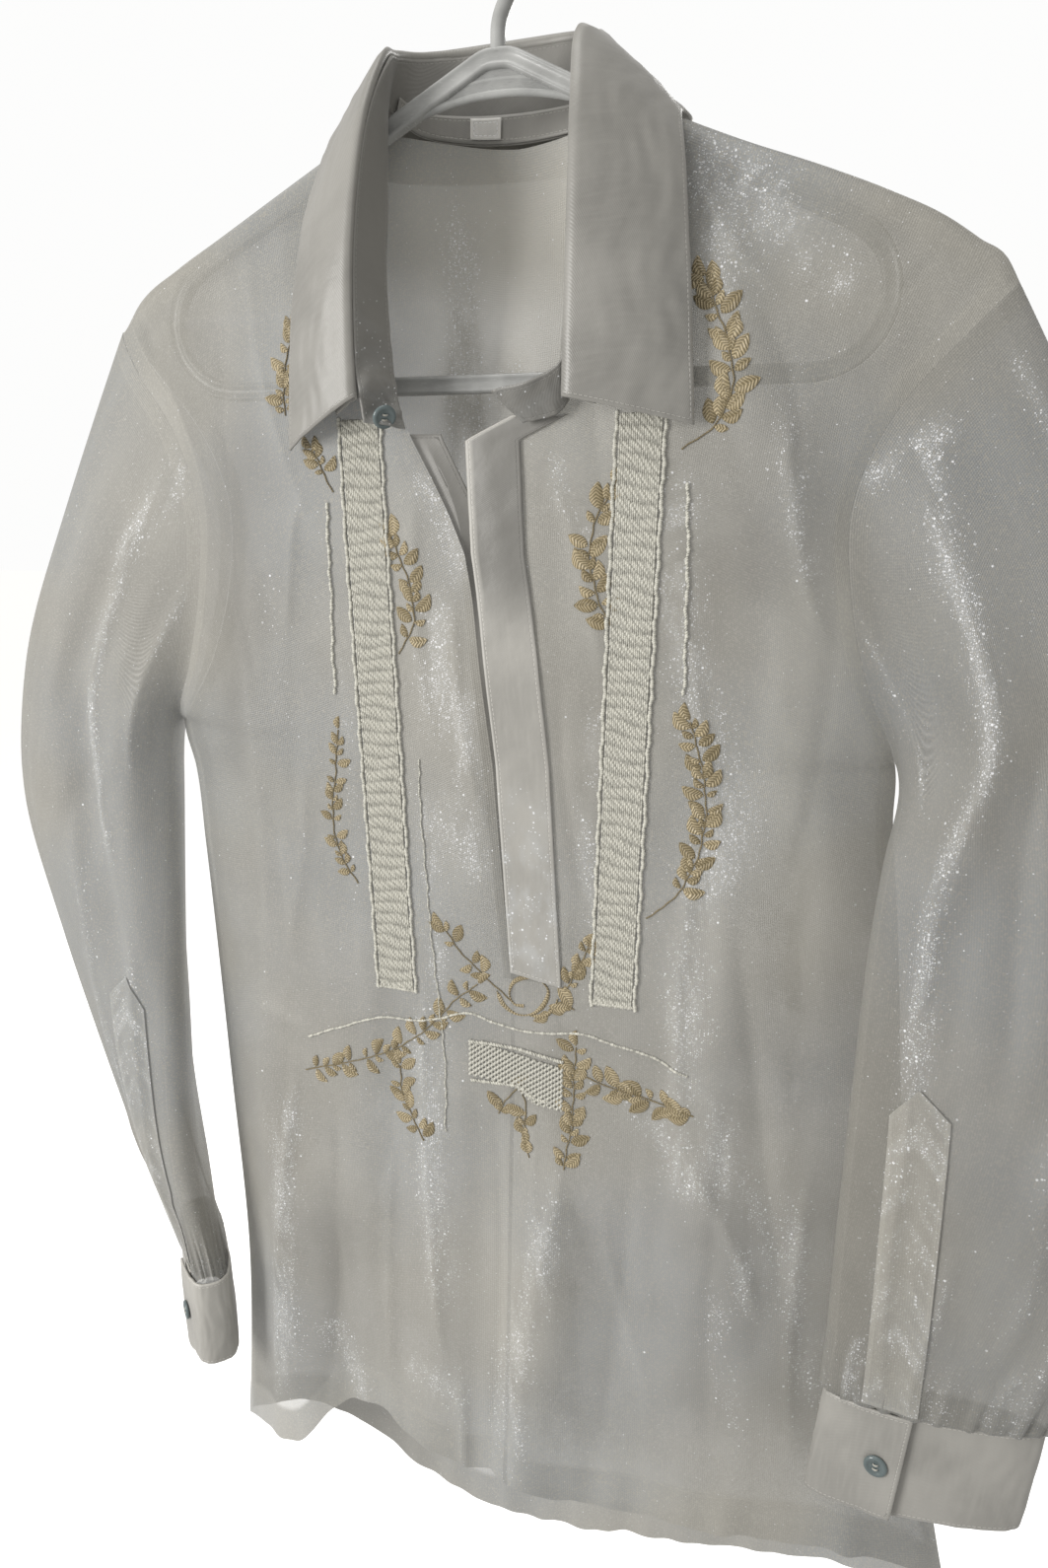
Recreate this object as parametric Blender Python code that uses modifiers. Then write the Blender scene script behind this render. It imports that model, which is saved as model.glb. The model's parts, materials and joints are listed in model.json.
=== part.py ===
"""Barong tagalog shirt hanging on a plastic hanger.

The frame is in metres, +Z up, with the origin where the rod touches the inside of the hanger's hook.
The shirt's front faces -Y, so the wearer's left is +X. Every table below is in millimetres, and a
"level" in it is a height above the middle of the hanger's bottom bar.
"""

from math import cos, pi, radians, sin

import bmesh
import bpy
import numpy as np
from mathutils import Vector

MM = 0.001
COLLECTION = "barong_tagalog_shirt"

# Driving sizes, in millimetres.
ROD_ABOVE_BAR = 225.0
WALL = 1.2
SEAM = 0.75  # from the middle of a seam to the middle of each wall, which leaves 0.3 mm between them
LAYER = 2.0  # from the middle of a wall to the middle of the layer sewn on it
FRONT, BACK = -1, 1
WEARERS_RIGHT, WEARERS_LEFT = -1, 1

# The hanger.
APEX_LEVEL = 148.0
ARM_SLOPE = 0.5
ARM_THICKNESS = 8.0
ARM_WIDTH = 9.0
ARM_CORNER = 2.4
BAR_HEIGHT = 8.0
END_RADIUS = 37.0
WEB_THICKNESS = 2.0
WEB_REACH = 84.0
WEB_CENTRE_LEVEL = 126.0
WEB_END_LEVEL = 99.0
APEX_HALF_WIDTH = 6.0
HOOK_INNER_RADIUS = 20.0
HOOK_ROD = 7.0

# The body.
SHOULDER_ROLL = 6.0
SHOULDER_SPREAD = 110.0
NECK_REACH = 66.0
NECK_BULGE = 19.0
BACK_NECK_LEVEL = 111.0
BACK_NECK_DIP = 5.8
TIP_LEVEL = 33.0
ABOVE_TIP_REACH = 250.0  # how wide the panels count as above the head of the sleeve
UNDERARM_LEVEL = -176.0
ARMHOLE_DEPTH = 15.5
SIDE_ROUNDNESS = 4.0

PANEL_ROWS = 28
PANEL_COLUMNS = 12
SLEEVE_ROWS = 22
SLEEVE_SIDES = 24

SHOULDER_LINE = (  # past the hanger's end the shoulder droops to the head of the sleeve
    # reach, level on the wearer's right, level on the wearer's left
    (0.0, 149.6, 149.6),
    (66.0, 116.8, 116.8),
    (110.0, 94.8, 98.0),
    (150.0, 74.8, 83.0),
    (175.0, 62.5, 72.5),
    (200.0, 47.5, 60.0),
    (213.0, 33.0, 51.0),
    (225.0, 33.0, 42.0),
    (230.0, 33.0, 33.0),
)

SIDE_EDGE = (  # the armhole's edge, and under it the side seam
    # level, wearer's right x, wearer's left x
    (33.0, -213.0, 230.0),
    (15.0, -202.0, 213.0),
    (-15.0, -180.0, 187.0),
    (-50.0, -166.0, 171.0),
    (-100.0, -168.0, 172.0),
    (-145.0, -181.0, 184.0),
    (-176.0, -194.0, 197.0),
    (-205.0, -188.5, 198.5),
    (-250.0, -186.0, 204.0),
    (-400.0, -180.0, 219.0),
    (-520.0, -176.0, 233.0),
    (-655.0, -184.0, 261.0),
)

PANEL_DEPTH = (  # how far each panel stands from the hanger's plane
    # level, front, back
    (120.0, 22.0, 20.0),
    (60.0, 25.0, 24.0),
    (0.0, 28.0, 27.0),
    (-60.0, 31.0, 28.0),
    (-150.0, 33.0, 28.0),
    (-300.0, 37.0, 26.0),
    (-450.0, 42.0, 22.0),
    (-640.0, 47.0, 17.0),
)

ROW_LEVELS = (  # where a row of the panel's grid starts at the side and ends at the middle
    # share of the rows, level at the side, level at the front's middle, level at the back's middle
    (0.00, 33.0, 116.0, 111.0),
    (0.10, -10.0, 78.0, 78.0),
    (0.20, -60.0, 28.0, 30.0),
    (0.29, -115.0, -17.0, -40.0),
    (0.40, -176.0, -80.0, -120.0),
    (0.50, -240.0, -165.0, -200.0),
    (0.64, -340.0, -292.0, -310.0),
    (0.80, -460.0, -430.0, -470.0),
    (1.00, -652.0, -600.0, -690.0),
)

NECKLINE = (  # the front's edge at the neck and the slit
    # share of the rows, wearer's right x, wearer's left x
    (0.00, -58.0, 66.0),
    (0.10, -51.0, 54.0),
    (0.20, -48.0, 49.0),
    (0.26, -44.0, 45.0),
    (0.29, -39.0, 16.0),
    (0.31, -34.0, -7.0),
    (0.40, -7.0, -4.0),
    (0.52, 7.4, 9.2),
    (0.64, 17.0, 17.0),
    (1.00, 17.0, 17.0),
)

HEM = (
    # x, front level, back level
    (-184.0, -659.0, -659.0),
    (-160.0, -644.0, -651.0),
    (-128.0, -633.0, -652.0),
    (-98.0, -598.0, -668.0),
    (-66.0, -581.0, -686.0),
    (-40.0, -590.0, -697.0),
    (-18.0, -598.0, -704.0),
    (-6.0, -601.0, -703.0),
    (10.0, -598.0, -706.0),
    (35.0, -602.0, -704.0),
    (70.0, -610.0, -697.0),
    (110.0, -607.0, -688.0),
    (160.0, -604.0, -679.0),
    (210.0, -610.0, -668.0),
    (261.0, -645.0, -645.0),
)

FRONT_FOLDS = (  # rise is how far a fold stands out of the panel, and a trough's is negative
    # top x, top level, bottom x, bottom level, half width, rise
    (-140.0, -330.0, -136.0, -640.0, 20.0, 8.0),
    (-92.0, -470.0, -88.0, -660.0, 17.0, -9.0),
    (-22.0, -360.0, -28.0, -600.0, 20.0, 6.0),
    (48.0, -380.0, 22.0, -660.0, 22.0, 9.0),
    (82.0, -420.0, 84.0, -640.0, 26.0, -6.0),
    (132.0, -210.0, 120.0, -420.0, 18.0, 6.0),
    (120.0, -390.0, 152.0, -520.0, 18.0, 7.0),
    (96.0, 70.0, 150.0, -60.0, 15.0, 5.0),
    (148.0, -30.0, 160.0, -210.0, 17.0, 7.0),
    (-150.0, -10.0, -128.0, -210.0, 18.0, 6.0),
    (-8.0, -110.0, -4.0, -270.0, 18.0, 4.0),
    (200.0, -420.0, 214.0, -640.0, 18.0, 6.0),
)

BACK_FOLDS = (
    # top x, top level, bottom x, bottom level, half width, rise
    (-28.0, 80.0, -40.0, -430.0, 18.0, 7.0),
    (34.0, 90.0, 52.0, -300.0, 18.0, 6.0),
    (4.0, 60.0, 8.0, -520.0, 22.0, -6.0),
    (-120.0, 0.0, -112.0, -420.0, 22.0, 6.0),
    (124.0, -10.0, 140.0, -460.0, 22.0, 6.0),
    (-80.0, -300.0, -96.0, -660.0, 24.0, 8.0),
    (20.0, -380.0, 24.0, -690.0, 24.0, 8.0),
    (96.0, -420.0, 104.0, -680.0, 24.0, -6.0),
    (180.0, -360.0, 196.0, -660.0, 22.0, 7.0),
    (-150.0, -440.0, -152.0, -650.0, 18.0, -5.0),
)

SLEEVES = {
    WEARERS_RIGHT: (  # outer is the fold away from the body, and inner the one beside it
        # share, outer x, outer level, inner x, inner level, y, swing of the outer fold, puff
        (0.00, -213.0, 33.0, -196.0, -176.0, 0.0, 0.0, 16.0),
        (0.10, -236.0, -10.0, -198.5, -181.0, 0.0, 0.0, 20.0),
        (0.22, -264.0, -68.0, -199.0, -194.0, -1.0, 0.0, 24.0),
        (0.36, -298.0, -145.0, -197.0, -226.0, -3.0, 4.0, 25.0),
        (0.50, -312.0, -226.0, -195.0, -274.0, -5.0, 12.0, 25.0),
        (0.64, -298.0, -313.0, -194.0, -341.0, -6.0, 23.0, 23.0),
        (0.80, -264.0, -424.0, -192.0, -434.0, -8.0, 30.0, 19.0),
        (1.00, -232.0, -519.0, -177.0, -521.0, -9.0, 33.0, 13.0),
    ),
    WEARERS_LEFT: (
        # share, outer x, outer level, inner x, inner level, y, swing of the outer fold, puff
        (0.00, 230.0, 33.0, 198.0, -176.0, 0.0, 0.0, 16.0),
        (0.10, 251.0, -6.0, 199.5, -180.0, -5.0, 0.0, 19.0),
        (0.22, 279.0, -62.0, 200.0, -190.0, -14.0, 0.0, 22.0),
        (0.36, 311.0, -140.0, 195.0, -216.0, -28.0, 0.0, 22.0),
        (0.50, 328.0, -220.0, 191.0, -262.0, -40.0, -2.0, 21.0),
        (0.64, 328.0, -300.0, 189.0, -322.0, -48.0, -4.0, 19.0),
        (0.80, 314.0, -392.0, 187.0, -403.0, -52.0, -5.0, 17.0),
        (1.00, 291.0, -478.0, 186.0, -489.0, -53.0, -5.0, 12.0),
    ),
}

SLEEVE_FOLDS = {
    WEARERS_RIGHT: (
        # top share, top angle, bottom share, bottom angle, half width in degrees, rise
        (0.10, 70.0, 0.62, 118.0, 17.0, -6.0),
        (0.06, 120.0, 0.58, 148.0, 15.0, 6.0),
        (0.40, 30.0, 0.94, 62.0, 18.0, 5.0),
        (0.62, 150.0, 0.97, 128.0, 17.0, -5.0),
        (0.12, 250.0, 0.70, 230.0, 20.0, 5.0),
        (0.50, 300.0, 0.95, 285.0, 20.0, -5.0),
    ),
    WEARERS_LEFT: (
        # top share, top angle, bottom share, bottom angle, half width in degrees, rise
        (0.05, 62.0, 0.50, 142.0, 15.0, 7.0),
        (0.05, 98.0, 0.36, 150.0, 14.0, -6.0),
        (0.30, 60.0, 0.80, 52.0, 18.0, -5.0),
        (0.60, 34.0, 0.96, 40.0, 17.0, 5.0),
        (0.12, 250.0, 0.70, 230.0, 20.0, 5.0),
        (0.50, 300.0, 0.95, 285.0, 20.0, -5.0),
    ),
}

# The cuffs, each a strip that laps over itself beside the sleeve's placket.
CUFF_HEIGHT = 60.0
CUFF_WALL = 1.6
CUFF_SEAM = 0.6
CUFF_HALF_WIDTH = {WEARERS_RIGHT: 45.0, WEARERS_LEFT: 51.0}
CUFF_HALF_DEPTH = {WEARERS_RIGHT: 14.5, WEARERS_LEFT: 11.0}
CUFF_ROUNDNESS = {WEARERS_RIGHT: 0.62, WEARERS_LEFT: 1.0}  # 1 is an ellipse, and less is squarer
CUFF_FREE_EDGE = 99.0  # degrees round from the outer fold, on the sleeve's front
CUFF_OVERLAP = 24.0
CUFF_LAP_STEP = 2.2
CUFF_DROP = {WEARERS_RIGHT: 2.0, WEARERS_LEFT: -8.0}  # how much lower its outer bottom corner hangs
CUFF_LEAN = {WEARERS_RIGHT: 2.0, WEARERS_LEFT: -6.0}  # how far its bottom stands to one side of its top
CUFF_BUTTON_ANGLE = 113.0
CUFF_BUTTON_SHARE = 0.50

SLEEVE_PLACKET_WIDTH = 26.0
SLEEVE_PLACKET_TOP_ANGLE = 124.0
SLEEVE_PLACKET_ANGLE = 112.0
SLEEVE_PLACKET_TOP = 0.655
SLEEVE_PLACKET_POINT = 0.03

COLLAR_STAND = (  # from the wearer's right end, round the back of the neck, to the wearer's left end
    # seam x, seam y, seam level, top x, top y, top level
    (-37.5, -31.0, -22.0, -52.5, -44.5, -19.5),
    (-43.0, -29.5, 3.0, -55.0, -46.5, 12.0),
    (-48.0, -24.0, 45.0, -54.0, -45.0, 60.0),
    (-50.0, -15.5, 86.0, -50.5, -37.0, 106.0),
    (-52.5, -7.8, 114.0, -47.0, -18.0, 138.0),
    (-57.0, 3.5, 126.0, -51.0, 5.0, 147.5),
    (-48.0, 20.0, 118.5, -46.0, 22.0, 152.0),
    (-26.0, 29.0, 115.0, -28.0, 35.0, 156.0),
    (0.0, 32.0, 114.0, 0.0, 39.0, 158.0),
    (26.0, 29.5, 115.0, 26.0, 35.0, 157.0),
    (48.0, 22.0, 117.0, 41.0, 22.0, 152.0),
    (61.0, 11.0, 121.0, 45.0, 4.0, 145.0),
    (62.5, -4.0, 118.7, 42.0, -18.0, 138.0),
    (53.0, -17.0, 84.0, 44.5, -37.0, 106.0),
    (48.5, -24.0, 45.0, 45.5, -45.0, 60.0),
    (46.5, -31.0, 4.0, 44.5, -46.0, 16.0),
    (41.0, -34.5, -15.5, 40.0, -45.5, 1.0),
    (23.0, -35.0, -20.5, 9.5, -42.0, -7.5),
)

COLLAR_LEAF = (  # the fold runs just outside the stand's top
    # fold x, fold y, fold level, edge x, edge y, edge level, how far it bulges between them
    (-56.5, -47.8, -9.0, -98.0, -33.0, -31.0, 3.0),
    (-57.0, -48.4, 20.0, -96.0, -32.5, 12.0, 3.5),
    (-56.0, -47.0, 62.0, -92.0, -27.0, 55.0, 3.5),
    (-52.5, -39.0, 108.0, -88.0, -17.0, 90.0, 1.5),
    (-50.0, -19.5, 140.5, -86.0, -4.0, 108.0, 0.5),
    (-53.5, 5.0, 150.0, -86.0, 10.0, 108.0, 0.0),
    (-47.5, 24.0, 154.8, -76.0, 31.0, 104.0, 0.5),
    (-29.0, 37.0, 158.8, -44.0, 44.0, 102.0, 1.5),
    (0.0, 41.2, 160.8, 0.0, 49.0, 102.0, 2.0),
    (27.0, 37.0, 159.8, 44.0, 44.0, 102.0, 1.5),
    (42.5, 24.0, 154.8, 76.0, 31.0, 105.0, 1.0),
    (46.8, 4.5, 147.5, 88.0, 10.0, 109.0, 1.0),
    (43.5, -19.5, 140.5, 86.0, -6.0, 109.0, 1.5),
    (46.5, -39.0, 108.5, 90.0, -19.0, 90.0, 2.5),
    (47.5, -47.0, 62.0, 95.0, -28.0, 52.0, 3.5),
    (46.5, -48.5, 20.0, 98.5, -33.0, 14.0, 3.5),
    (46.0, -48.5, -11.0, 101.0, -34.0, -23.0, 3.0),
)
LEAF_WALL = 1.6
COLLAR_STEPS = 44

PLACKET_WIDTH = 27.0
PLACKET_TOP_LEVEL = -24.0
PLACKET_BOTTOM_LEVEL = -296.0
UNDERLAP_INSET = 5.0
UNDERLAP_REACH = 15.0

BANDS = {  # the broad ladders of thread down each side of the front
    # top x, top level, bottom x, bottom level
    WEARERS_RIGHT: (-62.0, -17.0, -47.5, -309.0),
    WEARERS_LEFT: (76.5, -17.0, 71.0, -303.0),
}
BAND_WIDTH = 23.0
BAND_WALL = 1.0

BOX_BAND = (  # the small woven box under the slit
    # share along it, upper level, lower level
    (0.00, -331.0, -353.0),
    (0.50, -335.0, -356.0),
    (0.70, -337.0, -364.0),
    (1.00, -340.0, -366.0),
)
BOX_BAND_LEFT = -6.0
BOX_BAND_RIGHT = 46.0

NECK_FACING = (0.31, 0.69)  # from and to, as shares of the stand's length
NECK_FACING_HEIGHT = 0.30  # as a share of the stand's height
FACING_LIFT = 2.0
LABEL = (0.416, 0.451)
LABEL_HEIGHT = (0.03, 0.26)
LABEL_LIFT = 3.4

BUTTON_RADIUS = 5.8
BUTTON_THICKNESS = 2.4
COLLAR_BUTTON = (0.012, 0.45)  # along the stand and up it


# ---------------------------------------------------------------- curves and fields

def column(table, number):
    return np.array([row[number] for row in table], float)


def through(knots, values, at):
    """A smooth curve through the values: cubic pieces whose slopes are the mean slopes at each knot."""
    knots, values = np.asarray(knots, float), np.asarray(values, float)
    if knots[0] > knots[-1]:
        knots, values = knots[::-1], values[::-1]
    slopes = np.gradient(values, knots)
    at = np.clip(np.asarray(at, float), knots[0], knots[-1])
    piece = np.clip(np.searchsorted(knots, at, side="right") - 1, 0, len(knots) - 2)
    length = knots[piece + 1] - knots[piece]
    t = (at - knots[piece]) / length
    return (
        values[piece] * (2 * t**3 - 3 * t**2 + 1)
        + values[piece + 1] * (3 * t**2 - 2 * t**3)
        + slopes[piece] * length * (t**3 - 2 * t**2 + t)
        + slopes[piece + 1] * length * (t**3 - t**2)
    )


def ease(t):
    t = np.clip(t, 0.0, 1.0)
    return t * t * (3 - 2 * t)


def fold_relief(folds, a, b):
    """The folds' rise at (a, b): a bell across each fold's line, which fades in and out along it."""
    total = np.zeros(np.broadcast(a, b).shape)
    for top_a, top_b, bottom_a, bottom_b, half_width, rise in folds:
        along = (b - top_b) / (bottom_b - top_b)
        line = top_a + (bottom_a - top_a) * along
        fade = ease((along + 0.1) / 0.3) * ease((1.15 - along) / 0.3)
        total = total + rise * np.exp(-(((a - line) / half_width) ** 2)) * fade
    return total


# ---------------------------------------------------------------- the body's surfaces

def shoulder_level(x):
    right, left = (through(column(SHOULDER_LINE, 0), column(SHOULDER_LINE, n), np.abs(x)) for n in (1, 2))
    return np.where(np.asarray(x) < 0, right, left)


def side_x(side, level):
    return through(column(SIDE_EDGE, 0), column(SIDE_EDGE, 1 if side < 0 else 2), level)


def armhole_depth(level):
    """Half the armhole's depth: an ellipse between the head of the sleeve and the underarm."""
    middle = (TIP_LEVEL + UNDERARM_LEVEL) / 2
    half = (TIP_LEVEL - UNDERARM_LEVEL) / 2
    return SEAM + ARMHOLE_DEPTH * np.sqrt(np.clip(1 - ((level - middle) / half) ** 2, 0, 1))


def panel_y(face, x, level):
    """A panel's place: over the hanger's arm, out to its depth, and back to the armhole and the side seam."""
    drop = np.maximum(shoulder_level(x) - level, 0.0)
    roll = SHOULDER_ROLL * np.sqrt(1 - (1 - np.minimum(drop / SHOULDER_ROLL, 1.0)) ** 2)
    depth = through(column(PANEL_DEPTH, 0), column(PANEL_DEPTH, 1 if face < 0 else 2), level)
    out = SEAM + roll + (depth - SHOULDER_ROLL) * ease(drop / SHOULDER_SPREAD)
    if face > 0:
        inside = np.clip(1 - (x / NECK_REACH) ** 2, 0, 1)
        out = out + NECK_BULGE * inside * ease((level + 10) / 110)
    right, left = side_x(WEARERS_RIGHT, level), side_x(WEARERS_LEFT, level)
    above = level > TIP_LEVEL
    right, left = np.where(above, -ABOVE_TIP_REACH, right), np.where(above, ABOVE_TIP_REACH, left)
    share = np.clip(np.abs(2 * (x - right) / (left - right) - 1), 0, 1) ** SIDE_ROUNDNESS
    edge = np.where(level > UNDERARM_LEVEL, armhole_depth(level), SEAM)
    edge = np.minimum(edge, SEAM + roll + drop)
    folds = FRONT_FOLDS if face < 0 else BACK_FOLDS
    relief = fold_relief(folds, x, level) * (1 - share) * ease(drop / 40)
    return face * (out * (1 - share) + edge * share + relief)


def on_panel(face, x, level, lift=0.0):
    """Points of a panel, moved out of it by lift along its own slope."""
    x, level = np.broadcast_arrays(np.asarray(x, float), np.asarray(level, float))
    step = 1.0
    y = panel_y(face, x, level)
    slope_x = (panel_y(face, x + step, level) - panel_y(face, x - step, level)) / (2 * step)
    slope_z = (panel_y(face, x, level + step) - panel_y(face, x, level - step)) / (2 * step)
    length = np.sqrt(1 + slope_x**2 + slope_z**2)
    points = np.stack([x, y, level], axis=-1)
    normal = face * np.stack([-slope_x, np.ones_like(x), -slope_z], axis=-1) / length[..., None]
    return points + lift * normal


def row_shares(count):
    """Rows from the shoulder to the hem, with a few close together where the cloth turns over the hanger."""
    first = np.array([0.0, 0.0022, 0.012, 0.03])
    return np.concatenate([first, np.linspace(0.055, 1.0, count - 3)])


def half_panel(face, side, rows, columns):
    """x and level over half a panel, from the side (first column) to the middle (last column)."""
    q = row_shares(rows)[:, None]
    p = np.linspace(0, 1, columns + 1)[None, :]
    shares = column(ROW_LEVELS, 0)
    side_level = through(shares, column(ROW_LEVELS, 1), q)
    if face < 0:
        middle_level = through(shares, column(ROW_LEVELS, 2), q)
        middle_x = np.interp(q, column(NECKLINE, 0), column(NECKLINE, 1 if side < 0 else 2))
    else:
        middle_level = through(shares, column(ROW_LEVELS, 3), q)
        middle_x = np.zeros_like(q)
    x = side_x(side, side_level) * (1 - p) + middle_x * p
    level = side_level * (1 - p) + middle_level * p
    top_x = x[:1]
    top_line = shoulder_level(top_x)
    if face > 0:
        neck_line = BACK_NECK_LEVEL + BACK_NECK_DIP * ease(np.abs(top_x) / NECK_REACH)
        top_line = np.where(np.abs(top_x) < NECK_REACH, neck_line, top_line)
    level = level + (top_line - level[:1]) * (1 - ease(q / 0.30))
    hem_x = x[-1:]
    hem = through(column(HEM, 0), column(HEM, 1 if face < 0 else 2), hem_x)
    level = level + (hem - level[-1:]) * ease((q - 0.62) / 0.38)
    return x, level


def panel_grid(face, rows=PANEL_ROWS, columns=PANEL_COLUMNS):
    """Both halves of a panel as one list of grids. The front's are apart down to the end of the slit."""
    return [on_panel(face, *half_panel(face, side, rows, columns)) for side in (-1, 1)]


def slit_x(side, level):
    """The front's edge at the slit, at a level below the collar."""
    shares = through(column(ROW_LEVELS, 2), column(ROW_LEVELS, 0), level)
    return np.interp(shares, column(NECKLINE, 0), column(NECKLINE, 1 if side < 0 else 2))


# ---------------------------------------------------------------- the sleeves' surfaces

def armhole_ring(side, angle):
    """The sleeve's upper edge: round the armhole, from its head over the front to the underarm and back."""
    middle = (TIP_LEVEL + UNDERARM_LEVEL) / 2
    half = (TIP_LEVEL - UNDERARM_LEVEL) / 2
    level = middle + half * np.cos(angle)
    x = side_x(side, level) + side * 1.1
    return np.stack([x, -(SEAM + ARMHOLE_DEPTH) * np.sin(angle), level], axis=-1)


def sleeve_points(side, share, angle, lift=0.0, folds=True):
    """Points of a sleeve: flat rings between its two folds, which grow out of the armhole's ring.

    The angle is 0 at the outer fold, a quarter turn at the front and a half turn at the inner fold.
    """
    share, angle = np.broadcast_arrays(np.asarray(share, float), np.asarray(angle, float))
    table = SLEEVES[side]
    outer_x, outer_level, inner_x, inner_level, y, swing, puff = (
        through(column(table, 0), column(table, number), share) for number in range(1, 8)
    )
    half = np.stack([(outer_x - inner_x) / 2, swing, (outer_level - inner_level) / 2], axis=-1)
    centre = np.stack([(outer_x + inner_x) / 2, y, (outer_level + inner_level) / 2], axis=-1)
    flat = np.hypot(half[..., 0], half[..., 1])
    front = np.stack([side * half[..., 1], -side * half[..., 0], np.zeros_like(y)], axis=-1)
    front = front / flat[..., None]
    if folds:
        degrees = np.degrees(angle) % 360
        puff = puff + fold_relief(SLEEVE_FOLDS_BY_SHARE[side], degrees, share) * np.abs(np.sin(angle))
    size = puff + lift
    wide = 1 + lift / np.maximum(np.linalg.norm(half, axis=-1), 1.0)
    ring = (
        centre
        + half * (np.cos(angle) * wide)[..., None]
        + front * (np.sin(angle) * size)[..., None]
    )
    grown = ease(share / 0.30)[..., None]
    hole = armhole_ring(side, angle)
    return hole * (1 - grown) + ring * grown


SLEEVE_FOLDS_BY_SHARE = {
    side: tuple((a0, s0, a1, s1, width, rise) for s0, a0, s1, a1, width, rise in rows)
    for side, rows in SLEEVE_FOLDS.items()
}


def cuff_points(side, share, angle, lift=0.0):
    """Points of a cuff: the sleeve's last ring carried down, a little slimmer, with its outer corner lower."""
    share, angle = np.broadcast_arrays(np.asarray(share, float), np.asarray(angle, float))
    last = SLEEVES[side][-1]
    half = np.array([(last[1] - last[3]) / 2, last[6], 0.0])
    along = half / np.linalg.norm(half)
    front = side * np.array([along[1], -along[0], 0.0])
    centre = np.array([(last[1] + last[3]) / 2, last[5], (last[2] + last[4]) / 2 - CUFF_SEAM])
    across = CUFF_HALF_WIDTH[side] + lift
    depth = CUFF_HALF_DEPTH[side] + lift
    ahead, aside = (
        np.sign(way) * np.abs(way) ** CUFF_ROUNDNESS[side] for way in (np.cos(angle), np.sin(angle))
    )
    points = centre + along * (across * ahead)[..., None] + front * (depth * aside)[..., None]
    tilt = (last[2] - last[4]) / 2 * (1 - share) - CUFF_DROP[side] * share
    points[..., 2] += -share * CUFF_HEIGHT + tilt * np.cos(angle)
    points[..., 0] += share * CUFF_LEAN[side]
    return points


def spiral_angles(count):
    """The cuff's strip, from its free edge on top, once round, to its hidden end under the free edge."""
    start = radians(CUFF_FREE_EDGE)
    return np.linspace(start, start + 2 * pi + radians(CUFF_OVERLAP), count)


# ---------------------------------------------------------------- meshes

def material(name, colour, roughness, sheen=0.0):
    found = bpy.data.materials.new(name)
    found.use_nodes = True
    shader = found.node_tree.nodes["Principled BSDF"]
    shader.inputs["Base Color"].default_value = (*colour, 1.0)
    shader.inputs["Roughness"].default_value = roughness
    shader.inputs["Sheen Weight"].default_value = sheen
    shader.inputs["Metallic"].default_value = 0.0
    return found


def add_object(name, mesh, surface):
    part = bpy.data.objects.new(name, mesh)
    bpy.data.collections[COLLECTION].objects.link(part)
    mesh.materials.append(surface)
    mesh.shade_smooth()
    mesh.set_sharp_from_angle(angle=radians(40))
    return part


def to_world(points):
    points = np.asarray(points, float).reshape(-1, 3) * MM
    points[:, 2] -= ROD_ABOVE_BAR * MM
    return points


def sheet_mesh(name, grids, wrapped=False, turned=False):
    """One mesh from grids of points. Points that lie together are merged, so that grids join along them."""
    points, faces, start = [], [], 0
    for grid in grids:
        rows, columns = grid.shape[:2]
        index = start + np.arange(rows * columns).reshape(rows, columns)
        if wrapped:
            index = np.concatenate([index, index[:, :1]], axis=1)
        quads = np.stack([index[:-1, :-1], index[:-1, 1:], index[1:, 1:], index[1:, :-1]], axis=-1)
        faces.append(quads.reshape(-1, 4))
        points.append(to_world(grid))
        start += rows * columns
    mesh = bpy.data.meshes.new(name)
    mesh.from_pydata(np.concatenate(points).tolist(), [], np.concatenate(faces).tolist())
    shape = bmesh.new()
    shape.from_mesh(mesh)
    bmesh.ops.remove_doubles(shape, verts=shape.verts, dist=0.05 * MM)
    bmesh.ops.recalc_face_normals(shape, faces=shape.faces)
    if turned:
        bmesh.ops.reverse_faces(shape, faces=shape.faces)
    shape.to_mesh(mesh)
    shape.free()
    return mesh


def sheet(name, grids, wall, surface, wrapped=False):
    """A cloth piece: the open surface, with its wall's thickness half to each side."""
    part = add_object(name, sheet_mesh(name, grids, wrapped), surface)
    thickness = part.modifiers.new("wall", "SOLIDIFY")
    thickness.thickness = wall * MM
    thickness.offset = 0.0
    return part


# ---------------------------------------------------------------- the pieces

def make_panels(cloth):
    right, left = panel_grid(FRONT)
    sheet("front_panel", [right, left[:, ::-1]], WALL, cloth)
    right, left = panel_grid(BACK)
    sheet("back_panel", [right, left[:, ::-1]], WALL, cloth)


def make_sleeves(cloth):
    for side, word in ((WEARERS_RIGHT, "right"), (WEARERS_LEFT, "left")):
        share = np.linspace(0, 1, SLEEVE_ROWS + 1)[:, None]
        angle = np.linspace(0, 2 * pi, SLEEVE_SIDES, endpoint=False)[None, :]
        sheet(f"sleeve_{word}", [sleeve_points(side, share, angle)], WALL, cloth, wrapped=True)


def make_cuffs(satin):
    for side, word in ((WEARERS_RIGHT, "right"), (WEARERS_LEFT, "left")):
        angle = spiral_angles(32)[None, :]
        turned = (angle - angle[0, 0]) / (2 * pi)
        share = np.linspace(0, 1, 4)[:, None]
        grid = cuff_points(side, share, angle, lift=-CUFF_LAP_STEP * turned)
        sheet(f"cuff_{word}", [grid], CUFF_WALL, satin)


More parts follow.
